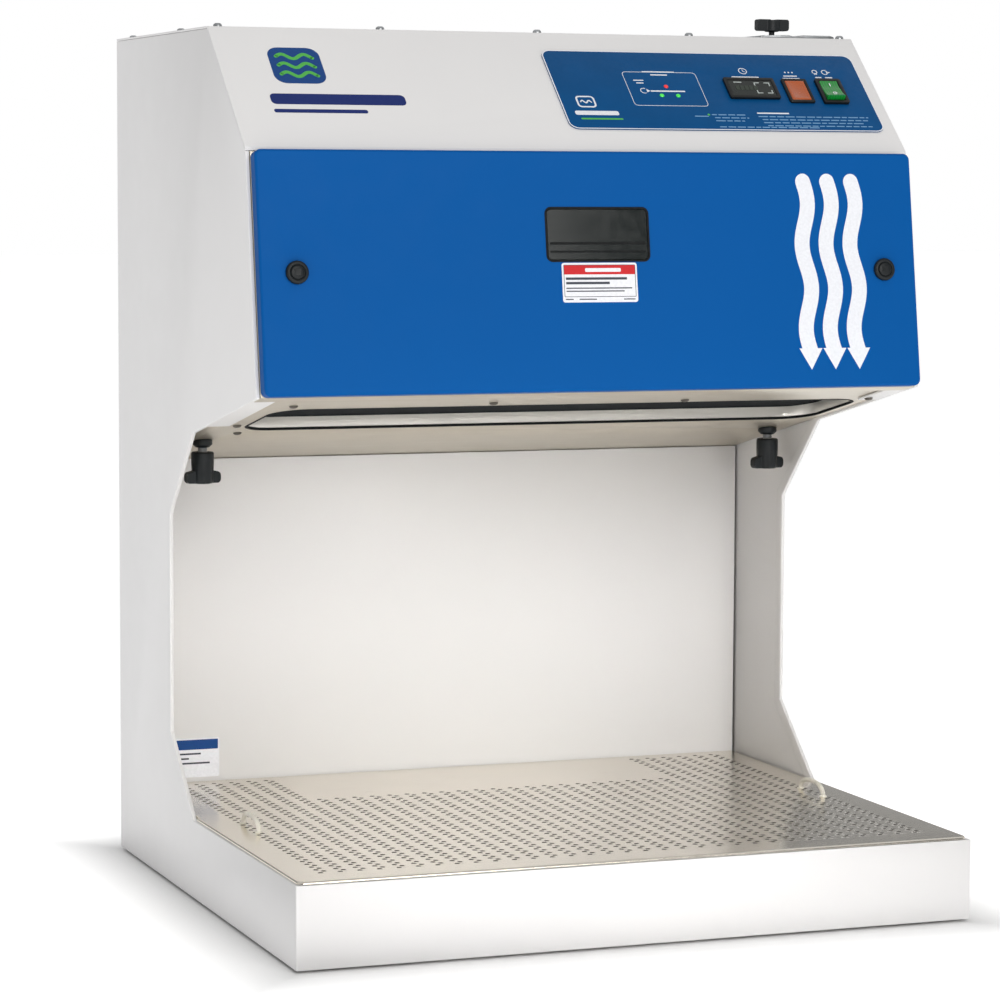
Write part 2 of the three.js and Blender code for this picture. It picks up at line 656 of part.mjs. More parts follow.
function rodBush() {
  const underside = ceilingHeight(CLAMP.fromBack) + CEILING_LIFT;
  const top = underside + 6;
  const cone = turned([[0, underside - 7], [7, underside - 7], [10, underside - 4], [10, top], [0, top]]);
  const above = box(-3 * THROUGH, 3 * THROUGH, -3 * THROUGH, 3 * THROUGH, -GAP, 3 * THROUGH)
    .rotateX(-Math.atan(ceilingFall))
    .translate(0, 0, underside);
  const sleeve = cylinder(7.5, underside - 5, underside + 12);
  const bore = cylinder(CLAMP.rod + GAP, underside - 2 * THROUGH, underside + 3 * THROUGH);
  return cut(join(cut(cone, above), sleeve), bore);
}

function addFilter() {
  const { half, rear, front, bottom, height, wall } = FILTER;
  add(model, 'main_filter', mainFilter(), CARBON);
  const gasketTop = FAN_DECK - GAP;
  const gasket = cut(
    slab(-half, half, rear, front, bottom + height + GAP, gasketTop),
    slab(-half + wall, half - wall, rear + wall, front - wall, bottom, gasketTop + THROUGH),
  );
  add(model, 'filter_gasket', gasket, RUBBER);
  const padTop = bottom - GAP;
  const pad = slab(-PAD.half, PAD.half, PAD.rear, PAD.front, padTop - PAD.height, padTop);
  add(model, 'pre_filter', pad, FLEECE);
  add(model, 'filter_lift_frame', liftFrame(), ZINC);
  const clampY = DEPTH / 2 - CLAMP.fromBack;
  for (const [name, side] of [['left', -1], ['right', 1]]) {
    const x = side * CLAMP.x;
    add(model, `clamp_knob_${name}`, clampKnob(), BLACK_PLASTIC, x, clampY, CLAMP.knobBottom);
    const rodBottom = CLAMP.knobBottom + CLAMP_WING.rodSocket + GAP;
    const rod = cylinder(CLAMP.rod, rodBottom, CLAMP.rodTop, 16);
    add(model, `lift_rod_${name}`, rod, ZINC, x, clampY, 0);
    add(model, `rod_bush_${name}`, rodBush(), BLACK_PLASTIC, x, clampY, 0);
  }
}

// ---------------------------------------------------------------- fan
function fanDeck() {
  const rear = BACK_PANEL_DEPTH + SHEET + GAP;
  const front = BROW[0] - 1.5;
  const plate = slab(-INNER_HALF, INNER_HALF, rear, front, FAN_DECK, FAN_DECK + SHEET);
  const inlet = cylinder(FAN.inlet, FAN_DECK - THROUGH, FAN_DECK + THROUGH, 28)
    .translate(0, DEPTH / 2 - FAN.fromBack, 0);
  return cut(plate, inlet);
}

function inletRing() {
  const seat = FAN_DECK + SHEET + GAP;
  return turned([
    [113, seat], [113, seat + 2], [97, seat + 2], [88, seat + 6], [84, seat + 13],
    [82, seat + 13], [86, seat + 5], [96, seat], [113, seat],
  ], 28);
}

function fanBlade(angle) {
  const shape = new THREE.Shape();
  shape.moveTo(52, 0);
  shape.quadraticCurveTo(78, 4, 96, 30);
  shape.lineTo(94, 32);
  shape.quadraticCurveTo(76, 7, 51, 2.5);
  shape.closePath();
  return extrudeZ(shape, FAN.bottom + 1, FAN.top - 1, 3).rotateZ(angle);
}

function impeller() {
  const { radius, bottom, top, eye, hub: hubRadius, blades: count } = FAN;
  const shroud = ring(eye, radius, bottom, bottom + 2, 28);
  const plate = turned([[0, top - 3], [radius, top - 3], [radius, top], [0, top]], 28);
  const hub = cylinder(hubRadius, top - 20, top - 1);
  const blades = [];
  for (let index = 0; index < count; index += 1) {
    blades.push(fanBlade((index * 2 * Math.PI) / count));
  }
  const wheel = join(plate, hub, ...blades, shroud);
  return cut(wheel, cylinder(MOTOR.shaft + GAP, top - 3 * THROUGH, top + THROUGH));
}

function motor() {
  const { radius, shaft, height } = MOTOR;
  const bottom = FAN.top + 1;
  const top = FAN.top + height;
  return turned([
    [0, FAN.top - 16], [shaft, FAN.top - 16], [shaft, bottom], [radius - 4, bottom],
    [radius, bottom + 5], [radius, top], [0, top],
  ], 24);
}

function motorBracket() {
  const top = FAN.top + STRAP.clearance;
  const foot = FAN_DECK + SHEET + GAP + SHEET;
  const end = STRAP.half + STRAP.foot;
  const rightSide = [[end, foot], [STRAP.half, foot], [STRAP.half, top]];
  const leftSide = [[-STRAP.half, top], [-STRAP.half, foot], [-end, foot]];
  const outline = foldedSheet([...rightSide, ...leftSide].map(([x, z]) => new THREE.Vector2(x, z)), SHEET);
  const shape = new THREE.Shape(outline);
  const strap = new THREE.ExtrudeGeometry(shape, { depth: STRAP.width, bevelEnabled: false });
  return strap.rotateX(Math.PI / 2).translate(0, STRAP.width / 2, 0);
}

function exhaustGrille() {
  const { half, rear, front, flange, slots: count, bar, slotHalf } = GRILLE;
  const under = HEIGHT - SHEET - GAP;
  const body = join(
    slab(-half + GAP, half - GAP, rear + GAP, front - GAP, HEIGHT - 3, HEIGHT - GAP),
    slab(-half - flange, half + flange, rear - flange, front + flange, under - 1.5, under),
  );
  const slots = [];
  const pitch = (front - rear - 2 * bar) / count;
  for (let index = 0; index < count; index += 1) {
    const start = rear + bar + 2 + index * pitch;
    for (const middle of [-half / 2, half / 2]) {
      const end = start + pitch - bar;
      slots.push(slab(middle - slotHalf, middle + slotHalf, start, end, HEIGHT - THROUGH, HEIGHT + THROUGH));
    }
  }
  return cut(body, ...slots);
}

function addFan() {
  const y = DEPTH / 2 - FAN.fromBack;
  add(model, 'fan_deck', fanDeck(), ZINC);
  add(model, 'fan_inlet_ring', inletRing(), ZINC, 0, y, 0);
  add(model, 'fan_impeller', impeller(), BLACK_PLASTIC, 0, y, 0);
  add(model, 'fan_motor', motor(), ZINC, 0, y, 0);
  add(model, 'motor_bracket', motorBracket(), ZINC, 0, y, 0);
  add(model, 'exhaust_grille', exhaustGrille(), BLACK_PLASTIC);
}

// ---------------------------------------------------------------- controls
// A snap-in device: a bezel on the overlay, a body behind it and a face set back in the bezel.
function flushDevice(control, depth, faceRecess) {
  const halfWidth = control.width / 2;
  const halfLength = control.length / 2;
  const { seat, height, radius, rim, recess } = BEZEL;
  const bezel = roundedRect(-halfWidth, halfWidth, -halfLength, halfLength, radius);
  const body = box(-halfWidth + rim, halfWidth - rim, -halfLength + rim, halfLength - rim, -depth, seat + 1);
  const dish = box(
    -halfWidth + recess, halfWidth - recess, -halfLength + recess, halfLength - recess,
    seat + height - faceRecess, seat + THROUGH,
  );
  return cut(join(extrudeZ(bezel, seat, seat + height, 3), body), dish);
}

function rockerBezel() {
  const halfWidth = CONTROLS.rocker.width / 2;
  const halfLength = CONTROLS.rocker.length / 2;
  const { seat, radius, rim } = BEZEL;
  const { half, length, depth, body: bodyDepth, height } = ROCKER_WELL;
  const bezel = roundedRect(-halfWidth, halfWidth, -halfLength, halfLength, radius);
  const body = box(
    -halfWidth + rim, halfWidth - rim, -halfLength + rim, halfLength - rim, -bodyDepth, seat + 1,
  );
  const well = box(-half, half, -length, length, -depth, THROUGH);
  return cut(join(extrudeZ(bezel, seat, seat + height, 3), body), well);
}

function rocker() {
  const front = [[9, -8], [13.3, 0], [13.3, 5.5], [6, 4.4]];
  const rear = front.map(([y, z]) => [-y, z]).reverse();
  const profile = [...front, [0, 4], ...rear];
  return extrudeX(profile.map(([y, z]) => new THREE.Vector2(y, z)), -10, 10);
}

function addControls() {
  const { overlay, meter, lamp, rocker: button } = CONTROLS;
  const film = roundedRect(overlay.left, overlay.right, -overlay.bottom, -overlay.top, overlay.radius);
  add(slope, 'control_overlay', cut(extrudeZ(film, GAP, 1.5), ...controlOpenings()), OVERLAY_FILM);
  add(slope, 'hour_meter', flushDevice(meter, 36, 0.8), BLACK_PLASTIC, meter.x, -meter.down, 0);
  add(slope, 'indicator_lamp', flushDevice(lamp, 26, 0.8), AMBER, lamp.x, -lamp.down, 0);
  add(slope, 'rocker_bezel', rockerBezel(), BLACK_PLASTIC, button.x, -button.down, 0);
  const key = add(slope, 'power_rocker', rocker(), GREEN, button.x, -button.down, 1.5);
  key.rotation.x = -ROCKER_TILT;
  add(slope, 'controller_box', controllerBox(), ZINC);
}

// The box behind the overlay, with two mounting tabs on each side.
function controllerBox() {
  const { left, right, top, bottom, height, tab } = CONTROLLER;
  const seat = -SHEET - GAP;
  const tabs = [top + 10, bottom - 30].map((start) => (
    box(left - tab, right + tab, -start - 20, -start, seat - 1.7, seat)
  ));
  return join(box(left, right, -bottom, -top, -height, seat), ...tabs);
}

// ---------------------------------------------------------------- roof fittings
// A thin embossed plate, flat at its ends, with a dip between its two raised parts.
function accessPlate() {
  const profile = [
    [244, 0], [327, 0], [327, 1.4], [323, 2.9], [292, 2.9], [287, 1.6],
    [281, 1.6], [276, 2.9], [250, 2.4], [244, 1.2],
  ];
  const outline = new THREE.Shape(profile.map(([x, z]) => new THREE.Vector2(x, z)));
  const plate = new THREE.ExtrudeGeometry(outline, { depth: ACCESS_PLATE.length, bevelEnabled: false });
  plate.rotateX(Math.PI / 2).translate(0, DEPTH / 2 - ACCESS_PLATE.front, HEIGHT + GAP);
  return cut(plate, knobHole());
}

function topKnob() {
  const { half, stud, shank, seat, height } = TOP_KNOB;
  const wings = roundedRect(-half, half, -6.5, 6.5, 5);
  const bottom = HEIGHT + seat;
  return join(
    extrudeZ(wings, bottom, bottom + height, 4),
    cylinder(shank, bottom - 0.4, bottom + height - 1.6),
    cylinder(stud, HEIGHT - 12, bottom + 2),
  );
}

function addRoofFittings() {
  add(model, 'top_access_plate', accessPlate(), ZINC);
  add(model, 'top_knob', topKnob(), BLACK_PLASTIC, TOP_KNOB.x, DEPTH / 2 - TOP_KNOB.fromBack, 0);
}

addShell();
addBase();
addCeiling();
addDoor();
addFilter();
addFan();
addControls();
addRoofFittings();

export default model;
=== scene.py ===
"""Looks of a bench-top filtered fume hood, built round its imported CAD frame.

Local frames map millimetres to the row frame's metres, so every shape below is in millimetres.
"""

import json
from math import copysign, cos, pi, radians, sin

import bmesh
import bpy
from mathutils import Matrix, Vector


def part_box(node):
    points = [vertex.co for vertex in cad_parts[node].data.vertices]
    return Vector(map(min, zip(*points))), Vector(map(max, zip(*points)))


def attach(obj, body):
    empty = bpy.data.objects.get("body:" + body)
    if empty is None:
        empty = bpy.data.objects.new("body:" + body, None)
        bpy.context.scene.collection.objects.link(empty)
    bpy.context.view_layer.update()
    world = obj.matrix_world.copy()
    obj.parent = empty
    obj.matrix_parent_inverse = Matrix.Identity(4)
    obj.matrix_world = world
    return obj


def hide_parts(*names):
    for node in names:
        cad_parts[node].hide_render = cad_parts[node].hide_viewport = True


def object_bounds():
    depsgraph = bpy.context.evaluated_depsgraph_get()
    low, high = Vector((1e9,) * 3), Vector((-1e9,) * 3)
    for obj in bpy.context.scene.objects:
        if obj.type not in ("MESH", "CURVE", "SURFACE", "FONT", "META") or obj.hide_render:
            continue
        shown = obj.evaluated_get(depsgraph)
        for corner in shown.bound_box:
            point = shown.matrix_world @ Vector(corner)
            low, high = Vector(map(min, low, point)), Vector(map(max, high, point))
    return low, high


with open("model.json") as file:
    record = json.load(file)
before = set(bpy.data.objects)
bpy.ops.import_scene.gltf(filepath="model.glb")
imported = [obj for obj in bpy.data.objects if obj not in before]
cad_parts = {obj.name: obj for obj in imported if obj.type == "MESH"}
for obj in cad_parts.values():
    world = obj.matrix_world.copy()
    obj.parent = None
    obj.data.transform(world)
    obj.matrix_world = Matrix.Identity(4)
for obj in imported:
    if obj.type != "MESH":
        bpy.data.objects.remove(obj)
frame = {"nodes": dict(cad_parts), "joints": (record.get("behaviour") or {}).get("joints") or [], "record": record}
CAD_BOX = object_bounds()
NODES = frame["nodes"]
JOINTS = {joint["name"]: joint for joint in frame["joints"]}
MM = 0.001
BACK = CAD_BOX[1].y / MM
SCALE = Matrix.Scale(MM, 4)
ACROSS = Vector((1, 0, 0))

# How far the CAD's faces lie from the origins of the frames on them, in millimetres.
OVERLAY_DOWN = 28
OVERLAY_FACE = 1.5
DOOR_DOWN = 4.2
DOOR_FACE = 16
CEILING_START = 3
BEZEL_SEAT = 1.8
FLANGE_LIFT = 2.3


# ---- frames
def node_box(node):
    """A CAD node's lowest and highest corners, in millimetres."""
    low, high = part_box(node)
    return low / MM, high / MM


def local_limits(node, base):
    """A CAD node's lowest and highest corners in a local millimetre frame."""
    inverse = base.inverted()
    points = [inverse @ vertex.co for vertex in NODES[node].data.vertices]
    low = Vector([min(point[axis] for point in points) for axis in range(3)])
    high = Vector([max(point[axis] for point in points) for axis in range(3)])
    return low, high


def face_frame(node, toward):
    """A millimetre frame on a CAD node's largest flat face: X across, Y up it, Z out of it."""
    mesh = NODES[node].data
    facing = [face for face in mesh.polygons if face.normal.dot(Vector(toward)) > 0.3]
    largest = max(facing, key=lambda face: face.area)
    out = largest.normal.copy()
    up = out.cross(ACROSS).normalized()
    top = max(vertex.co.dot(up) for vertex in mesh.vertices)
    origin = up * top + out * largest.center.dot(out)
    turn = Matrix((ACROSS, up, out)).transposed().to_4x4()
    return Matrix.Translation(origin) @ turn @ SCALE


def offset(base, x=0.0, y=0.0, z=0.0):
    return base @ Matrix.Translation((x, y, z))


ROW = SCALE.copy()
SLOPE = offset(face_frame("control_overlay", (0, -1, 0.5)), 0, OVERLAY_DOWN, -OVERLAY_FACE)
FACE = offset(face_frame("filter_door", (0, -1, 0)), 0, DOOR_DOWN, -DOOR_FACE)
CEILING = offset(face_frame("ceiling_panel", (0, 0, -1)), 0, CEILING_START)


# ---- outlines
def arc(x, y, radius, start, end, steps):
    """Points of an arc, with its angles in degrees."""
    angles = [radians(start + (end - start) * step / steps) for step in range(steps + 1)]
    return [(x + radius * cos(angle), y + radius * sin(angle)) for angle in angles]


def rounded(x0, x1, y0, y1, radius, steps=5):
    """A rounded rectangle, anticlockwise."""
    points = []
    corners = [(x1 - radius, y0 + radius), (x1 - radius, y1 - radius),
               (x0 + radius, y1 - radius), (x0 + radius, y0 + radius)]
    for index, (x, y) in enumerate(corners):
        points += arc(x, y, radius, 90 * index - 90, 90 * index, steps)
    return points


def circle(x, y, radius, steps=24):
    return arc(x, y, radius, 0, 360 * (steps - 1) / steps, steps - 1)


def widened(points, amount):
    """The outline moved outward by an amount, corner by corner."""
    moved = []
    count = len(points)
    for index in range(count):
        before = Vector(points[index - 1])
        here = Vector(points[index])
        after = Vector(points[(index + 1) % count])
        into = (here - before).normalized()
        away = (after - here).normalized()
        normal = Vector((into.y + away.y, -into.x - away.x)).normalized()
        stretch = amount / max(0.4, normal.dot(Vector((into.y, -into.x))))
        moved.append(tuple(here + normal * stretch))
    return moved


# ---- shapes
class Shape:
    """Vertices and faces of one piece, collected in local millimetre frames."""

    def __init__(self, base=ROW):
        self.base = base
        self.verts = []
        self.faces = []

    def ring(self, points, base=None):
        """Adds points in a frame, the shape's own when none is given."""
        start = len(self.verts)
        place = self.base if base is None else base
        self.verts += [place @ Vector(point) for point in points]
        return list(range(start, len(self.verts)))

    def loop(self, points, z, base=None):
        return self.ring([(x, y, z) for x, y in points], base)

    def bridge(self, first, second):
        count = len(first)
        for index in range(count):
            following = (index + 1) % count
            self.faces.append((first[index], first[following], second[following], second[index]))

    def cap(self, loop):
        self.faces.append(tuple(loop))

    def loft(self, loops, closed=False):
        """Joins loops in turn, with a cap on each end, or end to start when closed."""
        for first, second in zip(loops, loops[1:]):
            self.bridge(first, second)
        if closed:
            self.bridge(loops[-1], loops[0])
            return
        self.cap(loops[0])
        self.cap(loops[-1])

    def prism(self, outline, z0, z1, base=None, chamfer=0.0):
        """An extruded outline, with its top edge chamfered."""
        loops = [self.loop(outline, z0, base)]
        if chamfer:
            loops.append(self.loop(outline, z1 - chamfer, base))
            loops.append(self.loop(widened(outline, -chamfer), z1, base))
        else:
            loops.append(self.loop(outline, z1, base))
        self.loft(loops)

    def band(self, outer, inner, z0, z1, base=None):
        """A closed frame between two outlines of as many points."""
        loops = [self.loop(outer, z0, base), self.loop(outer, z1, base),
                 self.loop(inner, z1, base), self.loop(inner, z0, base)]
        self.loft(loops, closed=True)

    def line(self, outline, width, z0, z1, base=None):
        """A closed line of a given width drawn round an outline."""
        self.band(widened(outline, width / 2), widened(outline, -width / 2), z0, z1, base)

    def lathe(self, profile, base=None, segments=32, shape=None):
        """A turned solid from [radius, height] points; shape(angle, height) scales the radius."""
        loops = []
        for radius, height in profile:
            points = []
            for index in range(segments):
                angle = 2 * pi * index / segments
                size = radius * (shape(angle, height) if shape else 1)
                points.append((size * cos(angle), size * sin(angle)))
            loops.append(self.loop(points, height, base))
        self.loft(loops)

    def tube(self, path, radius, base=None, sides=16):
        """A round bar along points, capped at both ends."""
        loops = []
        path = [Vector(point) for point in path]
        side = None
        for index, point in enumerate(path):
            after = path[min(index + 1, len(path) - 1)]
            before = path[max(index - 1, 0)]
            way = (after - before).normalized()
            if side is None:
                side = way.orthogonal().normalized()
            side = (side - way * side.dot(way)).normalized()
            other = way.cross(side)
            points = []
            for step in range(sides):
                angle = 2 * pi * step / sides
                points.append(point + (side * cos(angle) + other * sin(angle)) * radius)
            loops.append(self.ring(points, base))
        self.loft(loops)

    def stroke(self, points, width, z0, z1, base=None, ends=True):
        """A flat line of a given width through 2D points, with round ends."""
        points = [Vector(point) for point in points]
        left, right = [], []
        for index, point in enumerate(points):
            after = points[min(index + 1, len(points) - 1)]
            before = points[max(index - 1, 0)]
            into = (point - before).normalized() if index else (after - point).normalized()
            away = (after - point).normalized() if index < len(points) - 1 else into
            normal = Vector((-into.y - away.y, into.x + away.x)).normalized()
            stretch = width / 2 / max(0.5, normal.dot(Vector((-into.y, into.x))))
            left.append(tuple(point + normal * stretch))
            right.append(tuple(point - normal * stretch))
        self.prism(right + left[::-1], z0, z1, base)
        if ends:
            for point in (points[0], points[-1]):
                self.prism(circle(point.x, point.y, width / 2, 16), z0, z1, base)


INK = 0.12
SKIM = 0.02


class Print(Shape):
    """Ink on one level of a face."""

    def __init__(self, base, level):
        super().__init__(base)
        self.level = level

    def fill(self, outline, lift=0.0):
        low = self.level + lift
        self.prism(outline, low, low + INK)

    def trace(self, outline, width):
        self.line(outline, width, self.level, self.level + INK)

    def draw(self, points, width):
        self.stroke(points, width, self.level, self.level + INK)

    def bars(self, rows, thick, lift=0.0):
        """Short bars that stand for lines of wording: (left, right, height) each."""
        for left, right, y in rows:
            self.fill(rounded(left, right, y - thick / 2, y + thick / 2, thick * 0.3, 2), lift)


def placed(name, data):
    """A new object in the scene."""
    made = bpy.data.objects.new(name, data)
    bpy.context.scene.collection.objects.link(made)
    return made


def show(mesh, work, materials, body, replaces, smooth, modifiers):
    """Finishes a mesh, makes its object and lets it ride on a CAD body."""
    work.to_mesh(mesh)
    work.free()
    mesh.shade_smooth()
    mesh.set_sharp_from_angle(angle=radians(smooth))
    for material in materials:
        mesh.materials.append(material)
    made = placed(mesh.name, mesh)
    for kind, settings in modifiers:
        modifier = made.modifiers.new(kind.title(), kind)
        for key, value in settings.items():
            setattr(modifier, key, value)
    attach(made, body)
    if replaces:
        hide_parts(*replaces)


def piece(name, shape, material, body, replaces=(), smooth=35, modifiers=()):
    """Makes a piece of closed shapes."""
    mesh = bpy.data.meshes.new(name)
    mesh.from_pydata(shape.verts, [], shape.faces)
    work = bmesh.new()
    work.from_mesh(mesh)
    bmesh.ops.recalc_face_normals(work, faces=work.faces)
    show(mesh, work, [material], body, replaces, smooth, modifiers)


SHEET = 1.5


def sheet_piece(name, work, out, materials, body, slot, node, **settings):
    """Thickens an open skin inward to a sheet. Its flat faces set the shading of the bends."""
    bmesh.ops.recalc_face_normals(work, faces=work.faces)
    if max(work.faces, key=lambda face: face.calc_area()).normal.dot(out) < 0:
        bmesh.ops.reverse_faces(work, faces=work.faces)
    modifiers = [("SOLIDIFY", {"thickness": SHEET * MM, "offset": -1, **settings}),
                 ("WEIGHTED_NORMAL", {"keep_sharp": True, "weight": 80})]
    show(bpy.data.meshes.new(name), work, materials, body, [node], 35, modifiers)


def points_at(work, points, z, base):
    return [work.verts.new(base @ Vector((x, y, z))) for x, y in points]


def edge_loop(work, verts):
    return [work.edges.new((verts[index - 1], verts[index])) for index in range(len(verts))]


def fold(work, rim, outline, base, radius, top, angles, hem):
    """Rounds a skin over at its rim and carries it down to its hem, by outline(inset)."""
    turns = [radians(angle) for angle in angles]
    levels = [(radius * (1 - sin(turn)), top - radius * (1 - cos(turn))) for turn in turns]
    above = rim
    for inset, z in levels + [(0, hem)]:
        below = points_at(work, outline(inset), z, base)
        for index in range(len(rim)):
            work.faces.new((above[index - 1], below[index - 1], below[index], above[index]))
        above = below


def moulded(voxel, passes=4):
    """Blends the bodies of a moulded piece into one skin."""
    return [("REMESH", {"mode": "VOXEL", "voxel_size": voxel * MM, "use_smooth_shade": True}),
            ("SMOOTH", {"factor": 0.5, "iterations": passes})]


# ---- materials
def linear(red, green, blue):
    """A linear colour from 8-bit values."""
    def channel(value):
        value /= 255
        return value / 12.92 if value <= 0.04045 else ((value + 0.055) / 1.055) ** 2.4
    return (channel(red), channel(green), channel(blue), 1.0)


class Surface:
    """A node material on object coordinates, built up layer by layer."""

    def __init__(self, name, color, roughness, metallic=0.0, **sockets):
        self.material = bpy.data.materials.new(name)
        self.material.use_nodes = True
        self.tree = self.material.node_tree
        self.shader = self.tree.nodes["Principled BSDF"]
        self.color = color
        self.set("Base Color", color)
        self.set("Roughness", roughness)
        self.set("Metallic", metallic)
        for socket, value in sockets.items():
            self.set(socket.replace("_", " "), value)
        self.coordinates = self.tree.nodes.new("ShaderNodeTexCoord").outputs["Object"]
        self.height = None

    def set(self, socket, value):
        self.shader.inputs[socket].default_value = value

    def add(self, kind, links=None, **values):
        node = self.tree.nodes.new(kind)
        for key, value in values.items():
            setattr(node, key, value)
        for socket, source in (links or {}).items():
            if hasattr(source, "is_output"):
                self.tree.links.new(source, node.inputs[socket])
            else:
                node.inputs[socket].default_value = source
        return node

    def stretched(self, x, y, z, turn=0.0):
        node = self.add("ShaderNodeMapping", {"Vector": self.coordinates})
        node.inputs["Scale"].default_value = (x, y, z)
        node.inputs["Rotation"].default_value = (turn, 0, 0)
        return node.outputs["Vector"]

    def noise(self, scale, detail=3.0, roughness=0.55, distortion=0.0, vector=None):
        node = self.add("ShaderNodeTexNoise", {
            "Vector": vector or self.coordinates, "Scale": scale, "Detail": detail,
            "Roughness": roughness, "Distortion": distortion,
        })
        return node.outputs["Fac"]

    def cells(self, scale, vector=None):
        links = {"Vector": vector or self.coordinates, "Scale": scale}
        return self.add("ShaderNodeTexVoronoi", links).outputs["Color"]

    def spread(self, field, low, high, start=0.3, end=0.7):
        node = self.add("ShaderNodeMapRange", {
            "Value": field, "From Min": start, "From Max": end, "To Min": low, "To Max": high,
        })
        return node.outputs["Result"]

    def blend(self, factor, first, second):
        node = self.add("ShaderNodeMix", data_type="RGBA")
        for socket, value in (("Factor_Float", factor), ("A_Color", first), ("B_Color", second)):
            target = next(item for item in node.inputs if item.identifier == socket)
            if hasattr(value, "is_output"):
                self.tree.links.new(value, target)
            else:
                target.default_value = value
        return next(item for item in node.outputs if item.identifier == "Result_Color")

    def shade(self, amount):
        """The base colour, made darker or lighter by a factor."""
        return tuple(min(1.0, value * amount) for value in self.color[:3]) + (1.0,)

    def tone(self, field, low, high, start=0.3, end=0.7):
        """Lets the base colour drift between two shades of itself."""
        factor = self.spread(field, 0.0, 1.0, start, end)
        self.colored = self.blend(factor, self.shade(low), self.shade(high))
        self.link(self.colored, "Base Color")
        return self

    def tint(self, factor, color):
        """Mixes another colour over the base where the factor is high."""
        below = getattr(self, "colored", self.color)
        self.colored = self.blend(factor, below, color)
        self.link(self.colored, "Base Color")
        return self

    def rough(self, field, low, high, start=0.3, end=0.7):
        self.link(self.spread(field, low, high, start, end), "Roughness")
        return self

    def bump(self, field, strength, distance):
        """Adds a height field, with its depth in millimetres, over those added before."""
        links = {"Height": field, "Strength": strength, "Distance": distance * MM}
        if self.height is not None:
            links["Normal"] = self.height
        self.height = self.add("ShaderNodeBump", links).outputs["Normal"]
        self.link(self.height, "Normal")
        return self

    def edges(self, color, width=0.8):
        """Lightens the edges, broken up by noise: partly rubbed wear, partly a painted highlight along them."""
        eased = self.add("ShaderNodeBevel", {"Radius": width * MM}, samples=4).outputs["Normal"]
        plain = self.add("ShaderNodeNewGeometry").outputs["Normal"]
        turned = self.add("ShaderNodeVectorMath", {0: eased, 1: plain}, operation="DOT_PRODUCT")
        edge = self.spread(turned.outputs["Value"], 1.0, 0.0, 0.8, 0.98)
        broken = self.spread(self.noise(260.0), 0.15, 1.0, 0.4, 0.62)
        product = self.add("ShaderNodeMath", {0: edge, 1: broken}, operation="MULTIPLY")
        return self.tint(product.outputs[0], color)

    def link(self, source, socket):
        self.tree.links.new(source, self.shader.inputs[socket])


def powder_coat(name, color, roughness, peel, specular=0.5):
    """Baked powder paint: orange peel, faint cloudy tone, and lighter edges that are partly rubbed wear and partly
    a painted highlight.
    """
    surface = Surface(name, color, roughness, Specular_IOR_Level=specular)
    surface.tone(surface.noise(5.0, 4.0), 0.985, 1.01)
    surface.edges(surface.shade(1.35))
    surface.rough(surface.noise(35.0, 5.0), roughness - 0.05, roughness + 0.06)
    surface.bump(surface.noise(620.0, 2.0), peel, 0.12)
    surface.bump(surface.noise(2300.0, 2.0), peel * 0.5, 0.04)
    return surface.material


def brushed_steel(name, color, roughness, turn_scale, metallic=1.0):
    """Rolled stainless sheet: fine lines along X, cloudy reflections, light scratches."""
    surface = Surface(name, color, roughness, metallic)
    lines = surface.noise(1.0, 4.0, 0.7, vector=surface.stretched(12, turn_scale, turn_scale))
    surface.tone(surface.noise(6.0, 3.0), 0.94, 1.03)
    surface.rough(lines, roughness - 0.06, roughness + 0.1, 0.25, 0.75)
    scratches = surface.noise(1.0, 2.0, 0.5, 0.4, surface.stretched(25, 900, 900, 0.6))
    surface.bump(lines, 0.05, 0.06)
    surface.bump(scratches, 0.03, 0.03)
    return surface.material


def galvanised(name, color, roughness):
    """Zinc sheet with its spangle."""
    surface = Surface(name, color, roughness, 0.92)
    spangle = surface.cells(120.0)
    surface.tint(surface.spread(spangle, 0.0, 1.0, 0.2, 0.9), surface.shade(0.72))
    surface.rough(surface.noise(70.0, 4.0), roughness - 0.08, roughness + 0.14)
    surface.bump(spangle, 0.05, 0.05)
    surface.bump(surface.noise(900.0), 0.05, 0.04)
    return surface.material


def moulded_plastic(name, color, roughness, grain, rub_and_sheen=1.8, specular=0.35):
    """Injection-moulded plastic with a fine tool grain, and lighter corners that are partly rubbed wear and partly
    a painted highlight.
    """
    surface = Surface(name, color, roughness, Specular_IOR_Level=specular)
    surface.tone(surface.noise(60.0, 3.0), 0.88, 1.1)
    surface.edges(surface.shade(rub_and_sheen))
    surface.rough(surface.noise(180.0, 4.0), roughness - 0.08, roughness + 0.12)
    surface.bump(surface.noise(1500.0, 2.0), grain, 0.06)
    return surface.material


def sponge_rubber(name, color):
    surface = Surface(name, color, 0.75, Specular_IOR_Level=0.3)
    surface.tone(surface.noise(150.0, 4.0), 0.75, 1.25)
    surface.rough(surface.noise(320.0, 4.0), 0.6, 0.9)
    surface.bump(surface.noise(1100.0, 3.0), 0.25, 0.12)
    return surface.material


def clear_sheet(name, color, roughness, clearness):
    """Clear sheet, with faint waviness and dust."""
    surface = Surface(name, color, roughness, IOR=1.49, Transmission_Weight=clearness,
                      Specular_IOR_Level=0.15)
    surface.rough(surface.noise(90.0, 5.0), roughness, roughness + 0.1, 0.45, 0.75)
    surface.bump(surface.noise(40.0), 0.02, 0.2)
    return surface.material


def printed_film(name, color):
    """Screen-printed polyester with a velvet finish."""
    surface = Surface(name, color, 0.42, Specular_IOR_Level=0.1)
    surface.tone(surface.noise(30.0, 4.0), 0.95, 1.05)
    surface.rough(surface.noise(220.0, 4.0), 0.36, 0.5)
    surface.bump(surface.noise(2600.0, 2.0), 0.1, 0.03)
    return surface.material


def print_ink(name, color):
    surface = Surface(name, color, 0.5, Specular_IOR_Level=0.25)
    surface.tone(surface.noise(400.0, 3.0), 0.94, 1.03)
    surface.rough(surface.noise(700.0, 3.0), 0.42, 0.58)
    surface.bump(surface.noise(3200.0, 2.0), 0.08, 0.02)
    return surface.material


